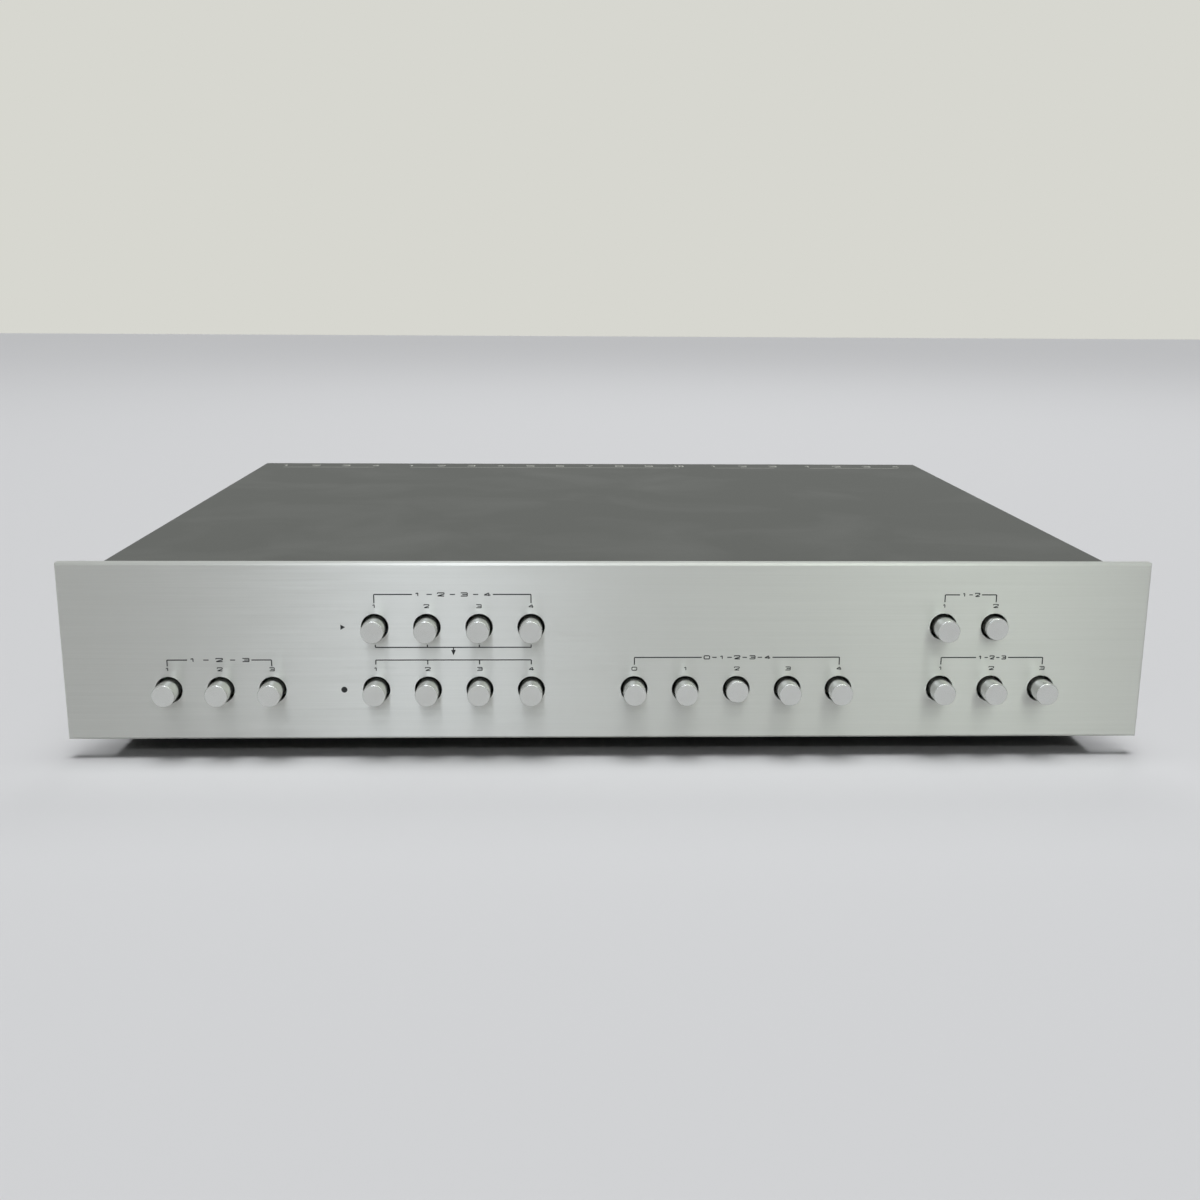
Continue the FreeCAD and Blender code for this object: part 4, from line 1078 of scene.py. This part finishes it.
turned, tree, place = blank("turned anodised aluminium")
spot = add(tree, "ShaderNodeSeparateXYZ", links={"Vector": place})
across_x = add(
    tree,
    "ShaderNodeMath",
    {"operation": "WRAP", 1: play_x + BUTTON_PITCH / 2, 2: play_x - BUTTON_PITCH / 2},
    {0: spot.outputs["X"]},
)
across_z = add(
    tree,
    "ShaderNodeMath",
    {"operation": "WRAP", 1: record_row + ROW_PITCH / 2, 2: record_row - ROW_PITCH / 2},
    {0: spot.outputs["Z"]},
)
local = add(
    tree,
    "ShaderNodeCombineXYZ",
    links={"X": across_x.outputs["Value"], "Z": across_z.outputs["Value"]},
)
from_axis = add(
    tree,
    "ShaderNodeVectorMath",
    {"operation": "SUBTRACT", 1: (play_x, 0, record_row)},
    {0: local.outputs["Vector"]},
)
radius = add(
    tree, "ShaderNodeVectorMath", {"operation": "LENGTH"}, {0: from_axis.outputs["Vector"]}
)
rings = add(
    tree,
    "ShaderNodeTexNoise",
    {"noise_dimensions": "1D", "Scale": 1 / FACING_RING, "Detail": 2.0},
    {"W": radius.outputs["Value"]},
)
smear = add(
    tree, "ShaderNodeTexNoise", {"Scale": 1 / SMEAR_PATCH, "Detail": 2.0}, {"Vector": place}
)
metal = add(
    tree,
    "ShaderNodeMix",
    {"data_type": "RGBA", COLOUR_A: colour("D4D5D1"), COLOUR_B: colour("DDDFDC")},
    {"Factor": smear.outputs["Fac"]},
)
rough = add(
    tree, "ShaderNodeMapRange", {"To Min": 0.16, "To Max": 0.26}, {"Value": rings.outputs["Fac"]}
)
bump = add(
    tree,
    "ShaderNodeBump",
    {"Strength": 0.12, "Distance": FACING_DEPTH},
    {"Height": rings.outputs["Fac"]},
)
shader = add(
    tree,
    "ShaderNodeBsdfPrincipled",
    {"Metallic": 1.0},
    {
        "Base Color": metal.outputs[MIXED],
        "Roughness": rough.outputs["Result"],
        "Normal": bump.outputs["Normal"],
    },
)
add(tree, "ShaderNodeOutputMaterial", links={"Surface": shader.outputs["BSDF"]})
dress(turned, *buttons)


# Screws: steel pan heads, cold formed and bright plated. They hold the panels, cover, frames and
# feet, and have the same finish as the latch bars.
dress(bright, "screws")


# Studio: a plain pale floor, soft lamps and the camera at the photograph's angle. The world adds
# a dim pale grey. The camera sees it in the wall's tone, and the metal mirrors it as a pale room,
# whose three shares give its glow towards the sides, front and back, and the ceiling.
FLOOR_SIZE = 9.0
FLOOR_TONE = "DCDDDF"
WALL_TONE = "D7D7D0"
ROOM_TONE = "E4E6E6"
ROOM_STRENGTH = 0.04
ROOM_GLOW = (0.8, 0.56, 1.0)

floor_material, tree, place = blank("plain pale floor")
shader = add(
    tree,
    "ShaderNodeBsdfPrincipled",
    {"Base Color": colour(FLOOR_TONE), "Roughness": 0.9, "Specular IOR Level": 0.0},
)
add(tree, "ShaderNodeOutputMaterial", links={"Surface": shader.outputs["BSDF"]})
mesh = bpy.data.meshes.new("floor")
half = FLOOR_SIZE / 2
corners = [(-half, -half, 0), (half, -half, 0), (half, half, 0), (-half, half, 0)]
mesh.from_pydata(corners, [], [(0, 1, 2, 3)])
mesh.materials.append(floor_material)
floor = bpy.data.objects.new("floor", mesh)
bpy.context.scene.collection.objects.link(floor)

world = bpy.data.worlds.new("studio")
bpy.context.scene.world = world
world.use_nodes = True
tree = world.node_tree
tree.nodes.clear()
seen = add(tree, "ShaderNodeLightPath")
plain = add(
    tree,
    "ShaderNodeMath",
    {"operation": "MAXIMUM"},
    {0: seen.outputs["Is Camera Ray"], 1: seen.outputs["Is Transmission Ray"]},
)
heading = add(tree, "ShaderNodeTexCoord")
shares = add(
    tree,
    "ShaderNodeVectorMath",
    {"operation": "MULTIPLY"},
    {0: heading.outputs["Generated"], 1: heading.outputs["Generated"]},
)
glow = add(
    tree,
    "ShaderNodeVectorMath",
    {"operation": "DOT_PRODUCT", 1: ROOM_GLOW},
    {0: shares.outputs["Vector"]},
)
air = add(tree, "ShaderNodeBackground", {"Color": colour(ROOM_TONE), "Strength": ROOM_STRENGTH})
room = add(
    tree, "ShaderNodeBackground", {"Color": colour(ROOM_TONE)}, {"Strength": glow.outputs["Value"]}
)
wall = add(tree, "ShaderNodeBackground", {"Color": colour(WALL_TONE), "Strength": 1.0})
lit = add(
    tree,
    "ShaderNodeMixShader",
    links={
        0: seen.outputs["Is Glossy Ray"],
        1: air.outputs["Background"],
        2: room.outputs["Background"],
    },
)
chosen = add(
    tree,
    "ShaderNodeMixShader",
    links={0: plain.outputs["Value"], 1: lit.outputs["Shader"], 2: wall.outputs["Background"]},
)
add(tree, "ShaderNodeOutputWorld", links={"Surface": chosen.outputs["Shader"]})

# The ceiling lamp is a wide sun from a little in front of straight above, which draws the dark
# shadow under the panel. Each other lamp has its place and the point that it faces, its width and
# height, all in metres, and its power. The three bands are tall strips that light only what mirrors
# them, so the panel shows them as soft upright bands with the caps' shadows in them. The low lamp
# softens the edge of the shadow under the panel.
CEILING_STRENGTH = 2.12
CEILING_ANGLE = 32
CEILING_TILT = 3
LAMPS = {
    "front_softbox": ((0.0, -0.9, 2.2), (0, 0, 0), (1.2, 0.6), 3.0),
    "rear_softbox": ((0.3, 1.5, 1.9), (0, 0, 0.03), (1.4, 0.8), 8.0),
    "low_softbox": ((0.0, -2.15, 1.46), (0, -0.15, 0), (2.4, 0.12), 4.9),
    "window_band": ((-0.34, -2.3, 1.9), (-0.07, -0.15, 0.05), (0.2, 3.2), 15.4),
    "shelf_band": ((0.45, -2.3, 1.9), (0.08, -0.15, 0.05), (0.2, 3.2), 2.2),
    "door_band": ((0.97, -2.3, 1.9), (0.19, -0.15, 0.05), (0.24, 3.2), 12.0),
}
WINDOW_TONE = "EEF4FF"
DOOR_TONE = "EBF6EC"
ceiling = bpy.data.lights.new("ceiling", "SUN")
ceiling.energy = CEILING_STRENGTH
ceiling.angle = math.radians(CEILING_ANGLE)
holder = bpy.data.objects.new("ceiling", ceiling)
holder.rotation_euler.x = math.radians(CEILING_TILT)
holder.visible_glossy = False
bpy.context.scene.collection.objects.link(holder)
for name, (lamp_place, target, size, power) in LAMPS.items():
    lamp = bpy.data.lights.new(name, "AREA")
    lamp.shape = "RECTANGLE"
    lamp.size, lamp.size_y = size
    lamp.energy = power
    is_band = name.endswith("band")
    if is_band:
        lamp.color = colour(WINDOW_TONE if name == "window_band" else DOOR_TONE)[:3]
    holder = bpy.data.objects.new(name, lamp)
    aim = (Vector(target) - Vector(lamp_place)).to_track_quat("-Z", "Y")
    holder.matrix_world = Matrix.Translation(lamp_place) @ aim.to_matrix().to_4x4()
    holder.visible_diffuse = not is_band
    holder.visible_glossy = name not in ("rear_softbox", "low_softbox")
    bpy.context.scene.collection.objects.link(holder)

# The camera stands half a metre in front of the panel, a little left of its middle, and looks
# down on it. Its place and angles come from a fit to the panel's four corners in the photograph,
# in metres and degrees. The focal length and the sensor are in millimetres.
CAMERA_PLACE = (-0.018, -0.65265, 0.1807)
CAMERA_TURN = (76.883, -0.353, -1.571)
FOCAL_LENGTH = 40.28
SENSOR_WIDTH = 36.0

camera = bpy.data.cameras.new("camera")
camera.lens = FOCAL_LENGTH
camera.sensor_width = SENSOR_WIDTH
viewer = bpy.data.objects.new("camera", camera)
viewer.location = CAMERA_PLACE
viewer.rotation_euler = [math.radians(angle) for angle in CAMERA_TURN]
bpy.context.scene.collection.objects.link(viewer)
bpy.context.scene.camera = viewer
bpy.context.scene.view_settings.view_transform = "Standard"
